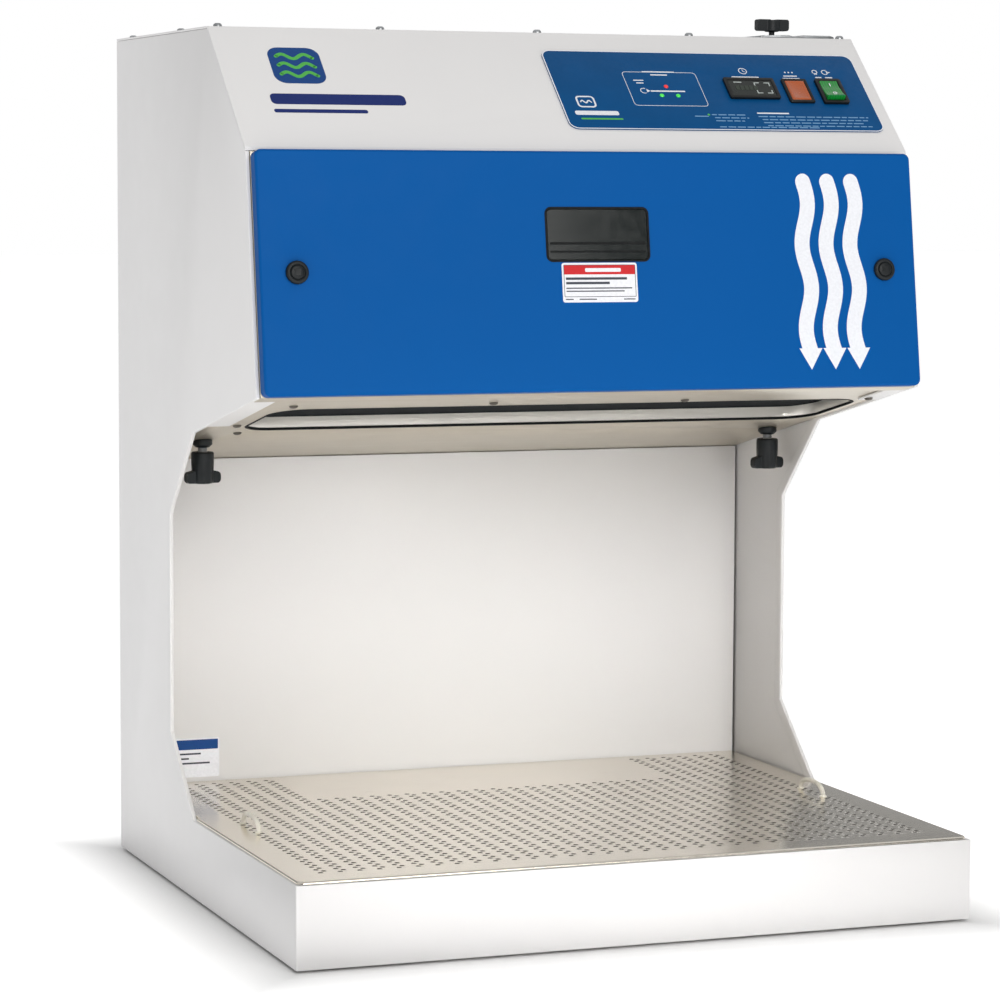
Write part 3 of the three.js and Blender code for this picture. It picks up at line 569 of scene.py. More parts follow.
def lens_plastic(name, color, glow, ribs):
    """Tinted lens with moulded ribs inside, lit a little from behind."""
    surface = Surface(name, color, 0.22, Emission_Color=color, Emission_Strength=glow,
                      Coat_Weight=0.4)
    rib = surface.add("ShaderNodeTexWave", {
        "Vector": surface.coordinates, "Scale": ribs, "Distortion": 0.2, "Detail": 1.0,
    }, bands_direction="X").outputs["Fac"]
    surface.tone(rib, 0.72, 1.12, 0.1, 0.9)
    surface.rough(surface.noise(160.0), 0.16, 0.3)
    surface.bump(rib, 0.15, 0.12)
    return surface.material


def fibre(name, color, scale, depth):
    """Open filter media: matted fibres or packed grains."""
    surface = Surface(name, color, 0.92, Sheen_Weight=0.2)
    matted = surface.noise(scale, 6.0, 0.7, 0.8)
    surface.tone(matted, 0.6, 1.25)
    surface.rough(surface.noise(scale / 2), 0.85, 1.0)
    surface.bump(matted, 0.6, depth)
    return surface.material


WHITE = linear(233, 232, 232)
PAINT = powder_coat("white_powder_coat", WHITE, 0.4, 0.035)
BLUE = powder_coat("blue_powder_coat", linear(10, 86, 158), 0.4, 0.045, 0.04)
STEEL = brushed_steel("stainless_sheet", linear(240, 234, 222), 0.19, 700)
# Satin stainless for the ceiling and the door frame. It is darker and warmer than the deck's steel: painted shade
# under the head and a painted warm reflection of the deck, over the metal's own satin finish.
SATIN_SHADED = brushed_steel("satin_stainless_painted_shade", linear(206, 198, 183), 0.34, 900, 0.75)
# Dark, dull steel. Cut edges are duller than the sheet, but most of this darkness is painted shade: on the walls
# of the deck's holes, at the foot of its hem, and on the screws under the ceiling.
DULL_SHADED_STEEL = brushed_steel("dull_steel_painted_shade", linear(112, 108, 102), 0.45, 400)
BRIGHT = brushed_steel("polished_trim", linear(244, 240, 232), 0.34, 500, 0.6)
ZINC = galvanised("galvanised_sheet", linear(186, 189, 192), 0.36)
BLACK = moulded_plastic("black_plastic", linear(16, 22, 25), 0.42, 0.1, 2.6)
DARK = moulded_plastic("black_bezel_plastic", linear(14, 16, 17), 0.36, 0.08)
RUBBER = sponge_rubber("black_rubber", linear(14, 17, 18))
GLASS = clear_sheet("window_acrylic", linear(34, 42, 42), 0.14, 0.5)
LAMP_LENS = clear_sheet("lamp_diffuser", linear(225, 228, 226), 0.35, 0.9)
FILM = printed_film("overlay_film", linear(5, 77, 132))
WHITE_INK = print_ink("white_ink", linear(236, 238, 244))
PALE_INK = print_ink("pale_blue_ink", linear(120, 165, 205))
NAVY_INK = print_ink("navy_ink", linear(14, 38, 108))
BADGE_INK = print_ink("badge_blue_ink", linear(10, 66, 132))
GREEN_INK = print_ink("green_ink", linear(84, 180, 80))
RED_INK = print_ink("red_ink", linear(205, 38, 44))
GREY_INK = print_ink("grey_ink", linear(70, 74, 84))
LABEL = print_ink("label_vinyl", linear(240, 241, 246))
AMBER = lens_plastic("amber_lens", linear(178, 82, 26), 0.06, 300.0)
GREEN = lens_plastic("green_key", linear(16, 132, 48), 0.12, 110.0)
RED_LIGHT = lens_plastic("red_indicator", linear(220, 40, 40), 0.5, 900.0)
GREEN_LIGHT = lens_plastic("green_indicator", linear(60, 210, 70), 0.5, 900.0)
CREAM = moulded_plastic("cream_plastic", linear(238, 234, 222), 0.35, 0.05, 1.1)
CARBON = fibre("filter_cell", linear(46, 50, 52), 320.0, 1.0)
PAD = fibre("filter_pad", linear(224, 228, 230), 480.0, 1.2)
FROSTED = printed_film("lamp_tube_glass", linear(240, 241, 238))
METER_FACE = moulded_plastic("meter_face_plastic", linear(38, 42, 40), 0.3, 0.03, 1.1)
METER_DRUM = moulded_plastic("meter_drum_plastic", linear(52, 60, 52), 0.4, 0.03, 1.2)
GREY_MARK = print_ink("meter_mark_ink", linear(188, 196, 194))

FINISH = {
    "white_paint": PAINT, "blue_paint": BLUE, "stainless": STEEL, "zinc_steel": ZINC,
    "black_plastic": BLACK, "rubber": RUBBER, "clear_glass": GLASS, "overlay_film": FILM,
    "amber_lens": AMBER, "green_plastic": GREEN, "cream_plastic": CREAM,
    "carbon_media": CARBON, "filter_pad": PAD, "lamp_glass": FROSTED,
}
# The ceiling and the door frame take the satin steel, whose darker, warmer colour is painted shade.
SPECIAL = {
    "ceiling_panel": SATIN_SHADED, "door_frame": SATIN_SHADED, "lamp_bezel": BRIGHT, "lamp_lens": LAMP_LENS,
    "rocker_bezel": DARK, "hour_meter": DARK,
}
EDGE_WIDTHS = {
    "left_side_panel": 1.3, "right_side_panel": 1.3, "head_front_panel": 0.9, "base_shell": 0.9,
    "door_frame": 0.8, "top_panel": 0.8,
}
SMALL_EDGE = 0.35
WELD_REACH = 0.00001


def dress_nodes():
    """Gives each CAD node that stays its finish, welded and with eased edges."""
    slots = {entry["node"]: entry["material_slot"] for entry in frame["record"]["subparts"]}
    for name, node in NODES.items():
        material = SPECIAL.get(name) or FINISH[slots[name]]
        node.data.materials.clear()
        node.data.materials.append(material)
        node.data.shade_smooth()
        weld = node.modifiers.new("Weld", "WELD")
        weld.merge_threshold = WELD_REACH
        bevel = node.modifiers.new("Bevel", "BEVEL")
        bevel.width = EDGE_WIDTHS.get(name, SMALL_EDGE) * MM
        bevel.segments = 3 if name in EDGE_WIDTHS else 2
        bevel.limit_method = "ANGLE"
        bevel.angle_limit = radians(33)
        bevel.harden_normals = True


# ---- deck
DECK_EDGE = 2.2
DECK_HEM = 81.3
DECK_CORNER = 7.5
DECK_STEP_Y = 24.0
DECK_REAR_HALF = 338.4
HOLE_RADIUS = 2.45
COLUMN_PITCH = 19.05
COLUMN_SIDE = 16
WIDE_COLUMNS = 10
HOLE_SWAY = 2.6
ROW_PITCH = 7.0
FIRST_ROW_Y = 212.0
SHORT_ROWS = 18
HOLE_ROWS = 71
COLLAR_HALF = 318
COLLAR_FRONT = 618
COLLAR_REAR = 100


def deck_outline(inset):
    low, high = node_box("perforated_deck")
    wide = high.x - inset
    narrow = DECK_REAR_HALF - inset
    front = low.y + inset
    rear = high.y - inset
    step = DECK_STEP_Y - inset
    radius = DECK_CORNER - inset
    points = arc(wide - radius, front + radius, radius, -90, 0, 6)
    points += [(wide, step), (narrow, step), (narrow, rear)]
    points += [(-x, y) for x, y in reversed(points)]
    return points


def hole_cell(work, corners, centre, top):
    """A sheet cell with a round hole, as four faces round the hole."""
    ring = points_at(work, circle(*centre, HOLE_RADIUS, 12), top, ROW)
    # Corners run anticlockwise from the lower left, and ring[0] is at three o'clock.
    starts = [8, 11, 2, 5]
    for side in range(4):
        first = corners[side]
        second = corners[(side + 1) % 4]
        begin = starts[side]
        span = [ring[(begin + step) % 12] for step in range(3, -1, -1)]
        work.faces.new([first, second] + span)


def perforated_sheet(top):
    """The deck's top skin: a grid of cells with holes, filled out to the rounded edge."""
    work = bmesh.new()
    columns = range(-COLUMN_SIDE, COLUMN_SIDE + 1)
    grid = {}

    def corner(column, row):
        if (column, row) not in grid:
            place = ((column - 0.5) * COLUMN_PITCH, FIRST_ROW_Y + ROW_PITCH / 2 - row * ROW_PITCH)
            grid[column, row], = points_at(work, [place], top, ROW)
        return grid[column, row]

    for column in columns:
        for row in range(HOLE_ROWS):
            corners = [corner(column, row + 1), corner(column + 1, row + 1),
                       corner(column + 1, row), corner(column, row)]
            if abs(column) <= WIDE_COLUMNS and row < SHORT_ROWS:
                work.faces.new(corners)
                continue
            sway = HOLE_SWAY if row % 2 else -HOLE_SWAY
            centre = (column * COLUMN_PITCH + sway, FIRST_ROW_Y - row * ROW_PITCH)
            hole_cell(work, corners, centre, top)
    right = COLUMN_SIDE + 1
    border = [(column, 0) for column in range(-COLUMN_SIDE, right)]
    border += [(right, row) for row in range(HOLE_ROWS)]
    border += [(column, HOLE_ROWS) for column in range(right, -COLUMN_SIDE, -1)]
    border += [(-COLUMN_SIDE, row) for row in range(HOLE_ROWS, 0, -1)]
    inner = [grid[key] for key in border]
    edges = []
    for index, vertex in enumerate(inner):
        following = inner[(index + 1) % len(inner)]
        edges.append(work.edges.get((vertex, following)))
    rim = points_at(work, deck_outline(DECK_EDGE), top, ROW)
    edges += edge_loop(work, rim)
    bmesh.ops.triangle_fill(work, edges=edges, use_beauty=True, normal=(0, 0, 1))
    return work, rim


def deck():
    """The perforated skin with its hem, and the collar under it."""
    low, high = node_box("perforated_deck")
    top = high.z
    work, rim = perforated_sheet(top)
    fold(work, rim, deck_outline, ROW, DECK_EDGE, top, (22.5, 45, 67.5, 90), DECK_HEM)
    # The rims that the sheet gets, the walls of its holes and the foot of its hem, take the dark steel: painted
    # shade.
    sheet_piece("deck_sheet", work, Vector((0, 0, 1)), [STEEL, DULL_SHADED_STEEL], "deck", "stainless",
                "perforated_deck", use_even_offset=True, material_offset_rim=1)
    collar = Shape()
    outer = rounded(-COLLAR_HALF, COLLAR_HALF, BACK - COLLAR_FRONT, BACK - COLLAR_REAR, 4)
    collar.band(outer, widened(outer, -SHEET), low.z, top - SHEET - 0.05)
    piece("deck_collar", collar, STEEL, "deck")


HANDLE_RADIUS = 2.35
HANDLE_STEPS = 40


def deck_handle(side):
    low, high = node_box(f"deck_handle_{side}")
    x = (low.x + high.x) / 2
    middle = (low.y + high.y) / 2
    deck_top = node_box("perforated_deck")[1].z
    half = (high.y - low.y) / 2 - HANDLE_RADIUS
    rise = high.z - HANDLE_RADIUS - deck_top
    path = []
    for step in range(HANDLE_STEPS + 1):
        angle = pi * step / HANDLE_STEPS
        reach = copysign(abs(cos(angle)) ** 0.8, cos(angle))
        lift = sin(angle) ** 0.9
        path.append((x, middle + half * reach, deck_top + rise * lift))
    path[0] = (x, middle + half, deck_top + 0.05)
    path[-1] = (x, middle - half, deck_top + 0.05)
    handle = Shape()
    handle.tube(path, HANDLE_RADIUS, sides=18)
    for end in (-1, 1):
        foot = offset(ROW, x, middle + end * half, deck_top)
        handle.lathe([(3.9, 0.05), (3.9, 0.5), (3.3, 1.1), (2.4, 1.5)], foot, 24)
    piece(f"handle_bow_{side}", handle, CREAM, "deck", [f"deck_handle_{side}"])


# ---- knobs
def fluted(count, depth, top, fade):
    """Shallow flutes round a turned body, which fade out towards its top."""
    def scale(angle, height):
        share = min(1.0, max(0.0, (top - height) / fade))
        return 1 - depth * share * (0.5 - 0.5 * cos(count * angle))
    return scale


def clamp_knob(side):
    """A fluted barrel with a wing across its foot, open at its top."""
    low, high = node_box(f"clamp_knob_{side}")
    centre = (low + high) / 2
    turn = Matrix.Rotation(radians(10), 4, "Z")
    base = offset(ROW, centre.x, centre.y, low.z) @ turn
    length = high.z - low.z
    knob = Shape()
    profile = [(9.2, 0), (10.4, 0.8), (11.0, 3), (11.2, 12), (11.5, 20), (11.5, length - 1.6),
               (11.0, length - 0.5), (10.2, length), (6.4, length), (6.0, length - 1.2),
               (5.4, length - 1.4), (5.4, length - 9), (0.5, length - 9)]
    knob.lathe(profile, base, 64, fluted(10, 0.05, 22, 8))
    reach, half = 18.6, 4.6
    upright = base @ Matrix.Rotation(radians(90), 4, "X")
    outline = [(-reach + 2.5, 0.3), (reach - 2.5, 0.3)]
    outline += arc(reach - 3.5, 4, 3.5, -60, 0, 4) + arc(reach - 4, 8, 4, 0, 75, 5)
    outline += [(10, 13.2), (-10, 13.2)]
    outline += arc(-reach + 4, 8, 4, 105, 180, 5) + arc(-reach + 3.5, 4, 3.5, 180, 240, 4)
    knob.prism(outline, -half, half, upright)
    piece(f"wing_knob_{side}", knob, BLACK, f"clamp_{side}",
          [f"clamp_knob_{side}"], modifiers=moulded(0.5, 3))


THREAD_PITCH = 2.0
THREAD_DEPTH = 0.75


def threaded_rod(side):
    low, high = node_box(f"lift_rod_{side}")
    centre = (low + high) / 2
    base = offset(ROW, centre.x, centre.y, 0)
    radius = (high.x - low.x) / 2
    rod = Shape(base)
    sides = 24
    steps = int((high.z - low.z) / THREAD_PITCH * 6)
    loops = []
    for step in range(steps + 1):
        height = low.z + (high.z - low.z) * step / steps
        points = []
        for index in range(sides):
            turn = index / sides
            phase = (height / THREAD_PITCH - turn) % 1
            groove = max(0.0, 1 - abs(phase - 0.5) * 2.6)
            size = radius - THREAD_DEPTH * groove
            angle = 2 * pi * turn
            points.append((size * cos(angle), size * sin(angle)))
        loops.append(rod.loop(points, height))
    rod.loft(loops)
    piece(f"threaded_rod_{side}", rod, ZINC, f"clamp_{side}", [f"lift_rod_{side}"],
          smooth=50)


def roof_knob():
    """A blocky wing with a notch, on a round hub and a stem."""
    low, high = node_box("top_knob")
    centre = (low + high) / 2
    roof = node_box("top_panel")[1].z
    stem = offset(ROW, centre.x, centre.y, 0)
    knob = Shape()
    seat = roof + 6.6
    top = high.z
    reach = (high.x - low.x) / 2
    hub = [(6.4, seat), (8.0, seat + 1), (8.0, top - 1.2), (7.4, top - 0.6), (0.5, top - 0.6)]
    knob.lathe(hub, stem, 48)
    upright = stem @ Matrix.Rotation(radians(90), 4, "X")
    outline = arc(reach - 2.6, seat + 3.4, 2.6, -90, 0, 4)
    outline += arc(reach - 2.2, top - 2.2, 2.2, 0, 90, 4)
    outline += [(3.4, top), (2.2, top - 2), (-2.2, top - 2), (-3.4, top)]
    outline += arc(-reach + 2.2, top - 2.2, 2.2, 90, 180, 4)
    outline += arc(-reach + 2.6, seat + 3.4, 2.6, 180, 270, 4)
    knob.prism(outline, -4.8, 4.8, upright)
    knob.lathe([(2.9, low.z), (2.9, seat + 2)], stem, 24)
    piece("roof_wing_knob", knob, BLACK, "roof_knob", ["top_knob"],
          modifiers=moulded(0.45, 3))


# ---- door
DOOR_BEND = 3.0
DOOR_CORNER = 6.5
DOOR_HEM = 2.0
LATCH_HOLE = 5.5
WINDOW_EDGE = 3
WINDOW_CORNER = 5
LATCH_POINT = FACE.inverted() @ Vector(JOINTS["latch_right_turn"]["pos_m"])
LATCH_X = LATCH_POINT.x
LATCH_DOWN = -LATCH_POINT.y


def door_limits():
    low, high = local_limits("filter_door", FACE)
    return low.y, high.y, high.x


def window_limits():
    """The window's opening in the door, a little wider than the CAD's pane."""
    low, high = local_limits("door_window", FACE)
    edge = Vector((WINDOW_EDGE, WINDOW_EDGE, 0))
    return low - edge, high + edge


def filter_door():
    """The blue pan, with holes for its window and its latches."""
    bottom, top, half = door_limits()
    low, high = window_limits()
    work = bmesh.new()

    def outline(inset):
        return rounded(-half + inset, half - inset, bottom + inset, top - inset,
                       DOOR_CORNER - inset, 6)

    rim = points_at(work, outline(DOOR_BEND), DOOR_FACE, FACE)
    holes = [rounded(low.x, high.x, low.y, high.y, WINDOW_CORNER)]
    holes += [circle(side * LATCH_X, -LATCH_DOWN, LATCH_HOLE) for side in (-1, 1)]
    edges = edge_loop(work, rim)
    for hole in holes:
        edges += edge_loop(work, points_at(work, hole, DOOR_FACE, FACE))
    bmesh.ops.triangle_fill(work, edges=edges, use_beauty=True)
    fold(work, rim, outline, FACE, DOOR_BEND, DOOR_FACE, (18, 36, 54, 72, 90), DOOR_HEM)
    out = (FACE.to_3x3() @ Vector((0, 0, 1))).normalized()
    sheet_piece("door_pan", work, out, [BLUE], "door", "blue_paint", "filter_door")


def window():
    """A smoked pane in a thin rubber edging, with two dark lines across it."""
    low, high = window_limits()

    def outline(grow):
        radius = WINDOW_CORNER + grow
        return rounded(low.x - grow, high.x + grow, low.y - grow, high.y + grow, radius)

    edging = Shape(FACE)
    loops = [(-0.3, DOOR_FACE - 4), (-0.3, DOOR_FACE + 0.05), (1.5, DOOR_FACE + 0.05),
             (1.4, DOOR_FACE + 0.4), (0.9, DOOR_FACE + 0.6), (0.2, DOOR_FACE + 0.6),
             (-0.5, DOOR_FACE + 0.3), (-0.7, DOOR_FACE - 4)]
    edging.loft([edging.loop(outline(grow), z) for grow, z in loops], closed=True)
    piece("window_edging", edging, RUBBER, "door", ["window_gasket"])
    pane = Shape(FACE)
    pane.prism(outline(-0.9), DOOR_FACE - 2.6, DOOR_FACE - 0.2, chamfer=0.2)
    piece("window_pane", pane, GLASS, "door", ["door_window"])
    ribs = Shape(FACE)
    for share, thick in ((0.33, 2.6), (0.17, 2.0)):
        y = low.y + (high.y - low.y) * share
        ribs.prism(rounded(low.x + 3, high.x - 3, y - thick / 2, y + thick / 2, 0.6),
                   DOOR_FACE - 0.18, DOOR_FACE - SKIM)
    piece("window_ribs", ribs, RUBBER, "door")


def latch(side, sign):
    """A quarter-turn head with its shank and the bar behind the door."""
    base = offset(FACE, sign * LATCH_X, -LATCH_DOWN, DOOR_FACE + 0.3)
    stud = Shape(base)
    head = [(10.2, 0), (11.0, 0.5), (11.0, 2.6), (10.5, 3.6), (9.6, 4.3), (8.4, 4.4), (7.6, 3.9),
            (7.2, 2.8), (6.9, 2.7), (6.4, 3.6), (5.6, 4.0), (0.6, 4.0)]
    stud.lathe(head, segments=48)
    stud.lathe([(0.6, 0.1), (4.4, 0.1), (4.4, -12.3), (0.6, -12.3)], segments=24)
    stud.prism(rounded(-3.2, 3.2, -3.2, 3.2, 0.7), 3.8, 4.45, chamfer=0.3)
    stud.prism(rounded(-8.6, 8.6, -1.9, 1.9, 0.8), -11.6, -14.0)
    piece(f"quarter_turn_{side}", stud, BLACK, f"latch_{side}", [f"latch_{side}"])


# ---- printed marks and labels
LABEL_LIMITS = (-38.8, 38.8, -150.0, -112.0)
LABEL_THICK = 0.35
FILM_THICK = 0.2


def door_label():
    """A plain white plate with a red band and grey bars under the window."""
    x0, x1, y0, y1 = LABEL_LIMITS
    top = DOOR_FACE + LABEL_THICK
    plate = Shape(FACE)
    plate.prism(rounded(x0, x1, y0, y1, 2.5), DOOR_FACE + SKIM, top, chamfer=0.08)
    piece("door_label", plate, LABEL, "door")
    red = Print(FACE, top)
    red.fill(rounded(x0 + 2.2, x1 - 2.2, y1 - 11.2, y1 - 2.4, 0.4))
    piece("door_label_band", red, RED_INK, "door")
    white = Print(FACE, top + INK)
    white.fill(rounded(-15, 22, y1 - 8.8, y1 - 5.2, 1.2))
    piece("door_label_band_mark", white, LABEL, "door")
    grey = Print(FACE, top)
    grey.trace(rounded(x0 + 2.0, x1 - 2.0, y0 + 5.4, y1 - 2.2, 0.6), 0.5)
    for right, down, thick in ((28, 15.2, 2.3), (10, 19.5, 2.3), (33, 24.4, 1.1), (25, 27.3, 1.1)):
        y = y1 - down
        grey.fill(rounded(-35, right, y - thick / 2, y + thick / 2, 0.3))
    for left, right in ((-36, -28), (-22, -4), (24, 36)):
        grey.fill(rounded(left, right, y0 + 2.4, y0 + 3.4, 0.3))
    piece("door_label_bars", grey, GREY_INK, "door")


def door_graphic():
    """Three white air streams that run down the door and end in arrow heads."""
    marks = Shape(FACE)
    low, high = DOOR_FACE + SKIM, DOOR_FACE + FILM_THICK
    # The heads and the round ends stand a little higher, so that no two faces coincide.
    cap = high + 0.04
    top, bottom = -25.0, -218.0
    sway, width = 4.0, 16.0
    head, spread = 21.0, 12.4
    steps = 40
    start, end = top - width / 2, bottom + head - 3
    for centre in (219.5, 245.5, 271.5):
        shares = [step / steps for step in range(steps + 1)]
        path = [(centre + sway * sin(share * pi * 4), start + (end - start) * share)
                for share in shares]
        marks.stroke(path, width, low, high, ends=False)
        neck = bottom + head
        arrow = [(centre, bottom), (centre + spread, neck), (centre - spread, neck)]
        marks.prism(arrow, low, cap)
        marks.prism(circle(centre, start, width / 2), low, cap)
    piece("door_airflow_mark", marks, WHITE_INK, "door")


def head_badge():
    """A plain badge with three air waves, over two bars."""
    plate = Shape(SLOPE)
    plate.prism(rounded(-292, -240, -82, -30, 12, 8), SKIM, FILM_THICK)
    piece("head_badge_plate", plate, BADGE_INK, "cabinet")
    waves = Print(SLOPE, FILM_THICK)
    for y in (-43, -56, -69):
        waves.draw([(-284 + step * 1.5, y + 3.2 * sin(step * 0.42)) for step in range(25)], 4.2)
    piece("head_badge_waves", waves, GREEN_INK, "cabinet")
    under = Shape(SLOPE)
    under.prism(rounded(-303, -168, -112, -97, 5), SKIM, FILM_THICK)
    under.prism(rounded(-303, -210, -124, -119, 2), SKIM, FILM_THICK)
    piece("head_badge_bars", under, NAVY_INK, "cabinet")


def overlay_print():
    """The overlay's frame, diagram and legends, with bars for its wording."""
    low, high = local_limits("control_overlay", SLOPE)
    white = Print(SLOPE, OVERLAY_FACE)
    white.trace(rounded(low.x + 0.6, high.x - 0.6, low.y + 0.6, high.y - 0.6, 9.4, 8), 1.1)
    # The diagram: a frame, a line with its lights, and an arrow.
    white.trace(rounded(69, 148, -109, -59, 4), 0.55)
    white.fill(rounded(92, 129, -88.2, -86.4, 0.5))
    white.bars([(91, 126, -58.5), (99, 117, -63.0)], 1.6, lift=0.02)
    white.bars([(78, 89, -71.5), (80, 88, -75.5)], 1.4)
    white.draw(arc(85, -87, 3.6, 60, 300, 10), 0.8)
    white.fill([(88, -84.5), (91.5, -87), (88, -89.5)])
    # Legends over the meter, the lamp and the rocker.
    white.trace(circle(202, -55, 4.2), 0.9)
    white.draw([(202, -52.5), (202, -55), (204, -56.2)], 0.7)
    white.bars([(187, 217, -64.2)], 1.8)
    for step in range(3):
        white.fill(circle(248.5 + step * 4, -56, 1.0, 12))
    white.bars([(245, 260, -61.5), (243, 262, -65.2)], 1.5)
    white.trace(circle(282, -54.5, 2.6, 16), 0.9)
    white.draw([(281, -58), (283.4, -58)], 1.0)
    white.trace(circle(293, -55, 3.2, 16), 0.9)
    white.fill([(295, -53.4), (299.5, -55), (295, -56.6)])
    white.bars([(280, 287, -63), (291, 299, -63)], 1.6)
    # The small corner mark: a rounded square with a wave over a bar.
    white.trace(rounded(9, 27, -112, -97, 3.5), 1.8)
    white.draw([(12.5 + step, -104.5 + 1.8 * sin(step * 0.9)) for step in range(12)], 1.5)
    white.bars([(2, 48, -121)], 6.0)
    white.bars([(197, 232, -118.5)], 1.8)
    piece("overlay_white_print", white, WHITE_INK, "cabinet")
    pale = Print(SLOPE, OVERLAY_FACE)
    lines = [(197, 318, -123.5), (200, 316, -128), (200, 312, -132.5), (203, 318, -137)]
    lines += [(147, 186, -121.5), (149, 186, -126), (149, 180, -130.5), (150, 262, -139.5)]
    for start, right, y in lines:
        while start < right - 2:
            length = 5 + (start * 7.3 + y * 3.1) % 6
            pale.bars([(start, min(right, start + length), y)], 1.3)
            start += length + 1.6
    pale.bars([(128, 143, -124)], 1.3)
    piece("overlay_fine_print", pale, PALE_INK, "cabinet")
    green = Print(SLOPE, OVERLAY_FACE)
    green.bars([(6, 50, -129.5)], 2.2)
    green.fill(circle(143.8, -121.5, 1.4, 12))
    piece("overlay_green_print", green, GREEN_INK, "cabinet")


def indicators():
    """Three small domed lights in the diagram."""
    for name, material, spots in (("red", RED_LIGHT, [(110.5, -80.5)]),
                                  ("green", GREEN_LIGHT, [(102, -94), (119.5, -94)])):
        dome = Shape()
        for x, y in spots:
            base = offset(SLOPE, x, y, OVERLAY_FACE)
            dome.lathe([(2.3, 0.02), (2.3, 0.5), (1.9, 1.0), (1.1, 1.4), (0.2, 1.55)], base, 20)
        piece(f"indicator_{name}", dome, material, "cabinet")


# ---- control devices
METER_SINK = 0.8
METER_TOP = 0.3


def meter_face():
    """The hour meter's screen, with corner marks and five blank number drums."""
    low, high = local_limits("hour_meter", SLOPE)
    middle = (low + high) / 2
    base = offset(SLOPE, middle.x, middle.y, high.z - METER_SINK)
    screen = Shape(base)
    screen.prism(rounded(-23.6, 23.6, -11.1, 11.1, 0.8), SKIM, METER_TOP, chamfer=0.1)
    piece("meter_face", screen, METER_FACE, "cabinet")
    marks = Print(base, METER_TOP)
    for across in (-1, 1):
        for along in (-1, 1):
            x, y = 12.5 + across * 8, along * 7.6
            marks.draw([(x - across * 5, y), (x, y), (x, y - along * 4.2)], 1.1)
    marks.bars([(-18, -9, 8.2)], 1.1)
    piece("meter_marks", marks, GREY_MARK, "cabinet")
    drums = Shape(base)
    for index in range(5):
        x = -15.5 + index * 4.9
        drums.prism(rounded(x - 2.1, x + 2.1, -3.2, 3.2, 0.4), METER_TOP, 0.75, chamfer=0.25)
    piece("meter_drums", drums, METER_DRUM, "cabinet")


def amber_lamp():
    """A square lens in a black bezel."""
    low, high = local_limits("indicator_lamp", SLOPE)
    middle = (low + high) / 2
    size = (high - low) / 2
    base = offset(SLOPE, middle.x, middle.y, BEZEL_SEAT)

    def inside(inset, radius):
        """The lamp's outline moved in from its edge."""
        across, along = size.x - inset, size.y - inset
        return rounded(-across, across, -along, along, radius)

    outer, mouth = inside(0, 2), inside(3, 1)
    section = [(outer, 0), (outer, 1.9), (widened(outer, -0.7), 2.6), (widened(mouth, 0.6), 2.6),
               (mouth, 2.0), (mouth, 0)]
    bezel = Shape(base)
    bezel.loft([bezel.loop(points, height) for points, height in section], closed=True)
    bezel.prism(inside(2.5, 1), -26, -0.1)
    piece("amber_lamp_bezel", bezel, DARK, "cabinet", ["indicator_lamp"])
    lens = Shape(base)
    steps = [(3.25, -0.1), (3.25, 1.9), (4.15, 2.7), (6.45, 2.75), (6.85, 2.45)]
    lens.loft([lens.loop(inside(inset, 0.9), height) for inset, height in steps])
    piece("amber_lamp_lens", lens, AMBER, "cabinet")


REST_TILT = 9
KEY_LEVEL = 4.72


def rocker_key():
    """A rocker with two dished halves, and a plain line and ring on them."""
    tilt = radians(REST_TILT)
    anchor = SLOPE.inverted() @ Vector(JOINTS["power_key_tilt"]["pos_m"])
    base = SLOPE @ Matrix.Translation(anchor) @ Matrix.Rotation(-tilt, 4, "X")
    half = 10.0
    profile = [(-9, -8), (9, -8), (13.2, -0.5)]
    top = []
    for step in range(13):
        share = 1 - step / 6
        y = 13.2 * share
        dish = 0.9 * sin(pi * min(1, abs(share)))
        top.append((y, 4.0 + 1.5 * share * share - dish * 0.5))
    profile += top + [(-13.2, -0.5)]
    along = base @ Matrix(((0, 0, 1, 0), (1, 0, 0, 0), (0, 1, 0, 0), (0, 0, 0, 1)))
    key = Shape(along)
    loops = []
    for x, inset in ((-half, 0.6), (-half + 0.6, 0), (half - 0.6, 0), (half, 0.6)):
        outline = widened(profile, -inset) if inset else profile
        loops.append(key.loop(outline, x))
    key.loft(loops)
    piece("rocker_key", key, GREEN, "power_key", ["power_rocker"])
    marks = Shape()
    lean = Matrix.Rotation(radians(8), 4, "X")
    upper = base @ Matrix.Translation((0, 7.5, KEY_LEVEL)) @ lean
    lower = base @ Matrix.Translation((0, -7.5, KEY_LEVEL)) @ lean.inverted()
    marks.prism(rounded(-0.5, 0.5, -2.2, 2.2, 0.3), -0.4, INK, upper)
    marks.line(circle(0, 0, 1.9, 24), 0.7, -0.4, INK, lower)
    piece("rocker_marks", marks, WHITE_INK, "power_key")


# ---- screws
def pan_screw(shape, base, radius, height):
    """A pan head with a cross recess."""
    shape.lathe([(radius, 0.02), (radius, height * 0.35), (radius * 0.86, height * 0.72),
                 (radius * 0.62, height * 0.94), (radius * 0.5, height)], base, 24)
    size = radius * 0.5
    for angle in (0, 90):
        bar = base @ Matrix.Rotation(radians(angle + 20), 4, "Z")
        shape.prism(rounded(-size, size, -0.45, 0.45, 0.1, 1), height * 0.9, height + 0.06, bar)


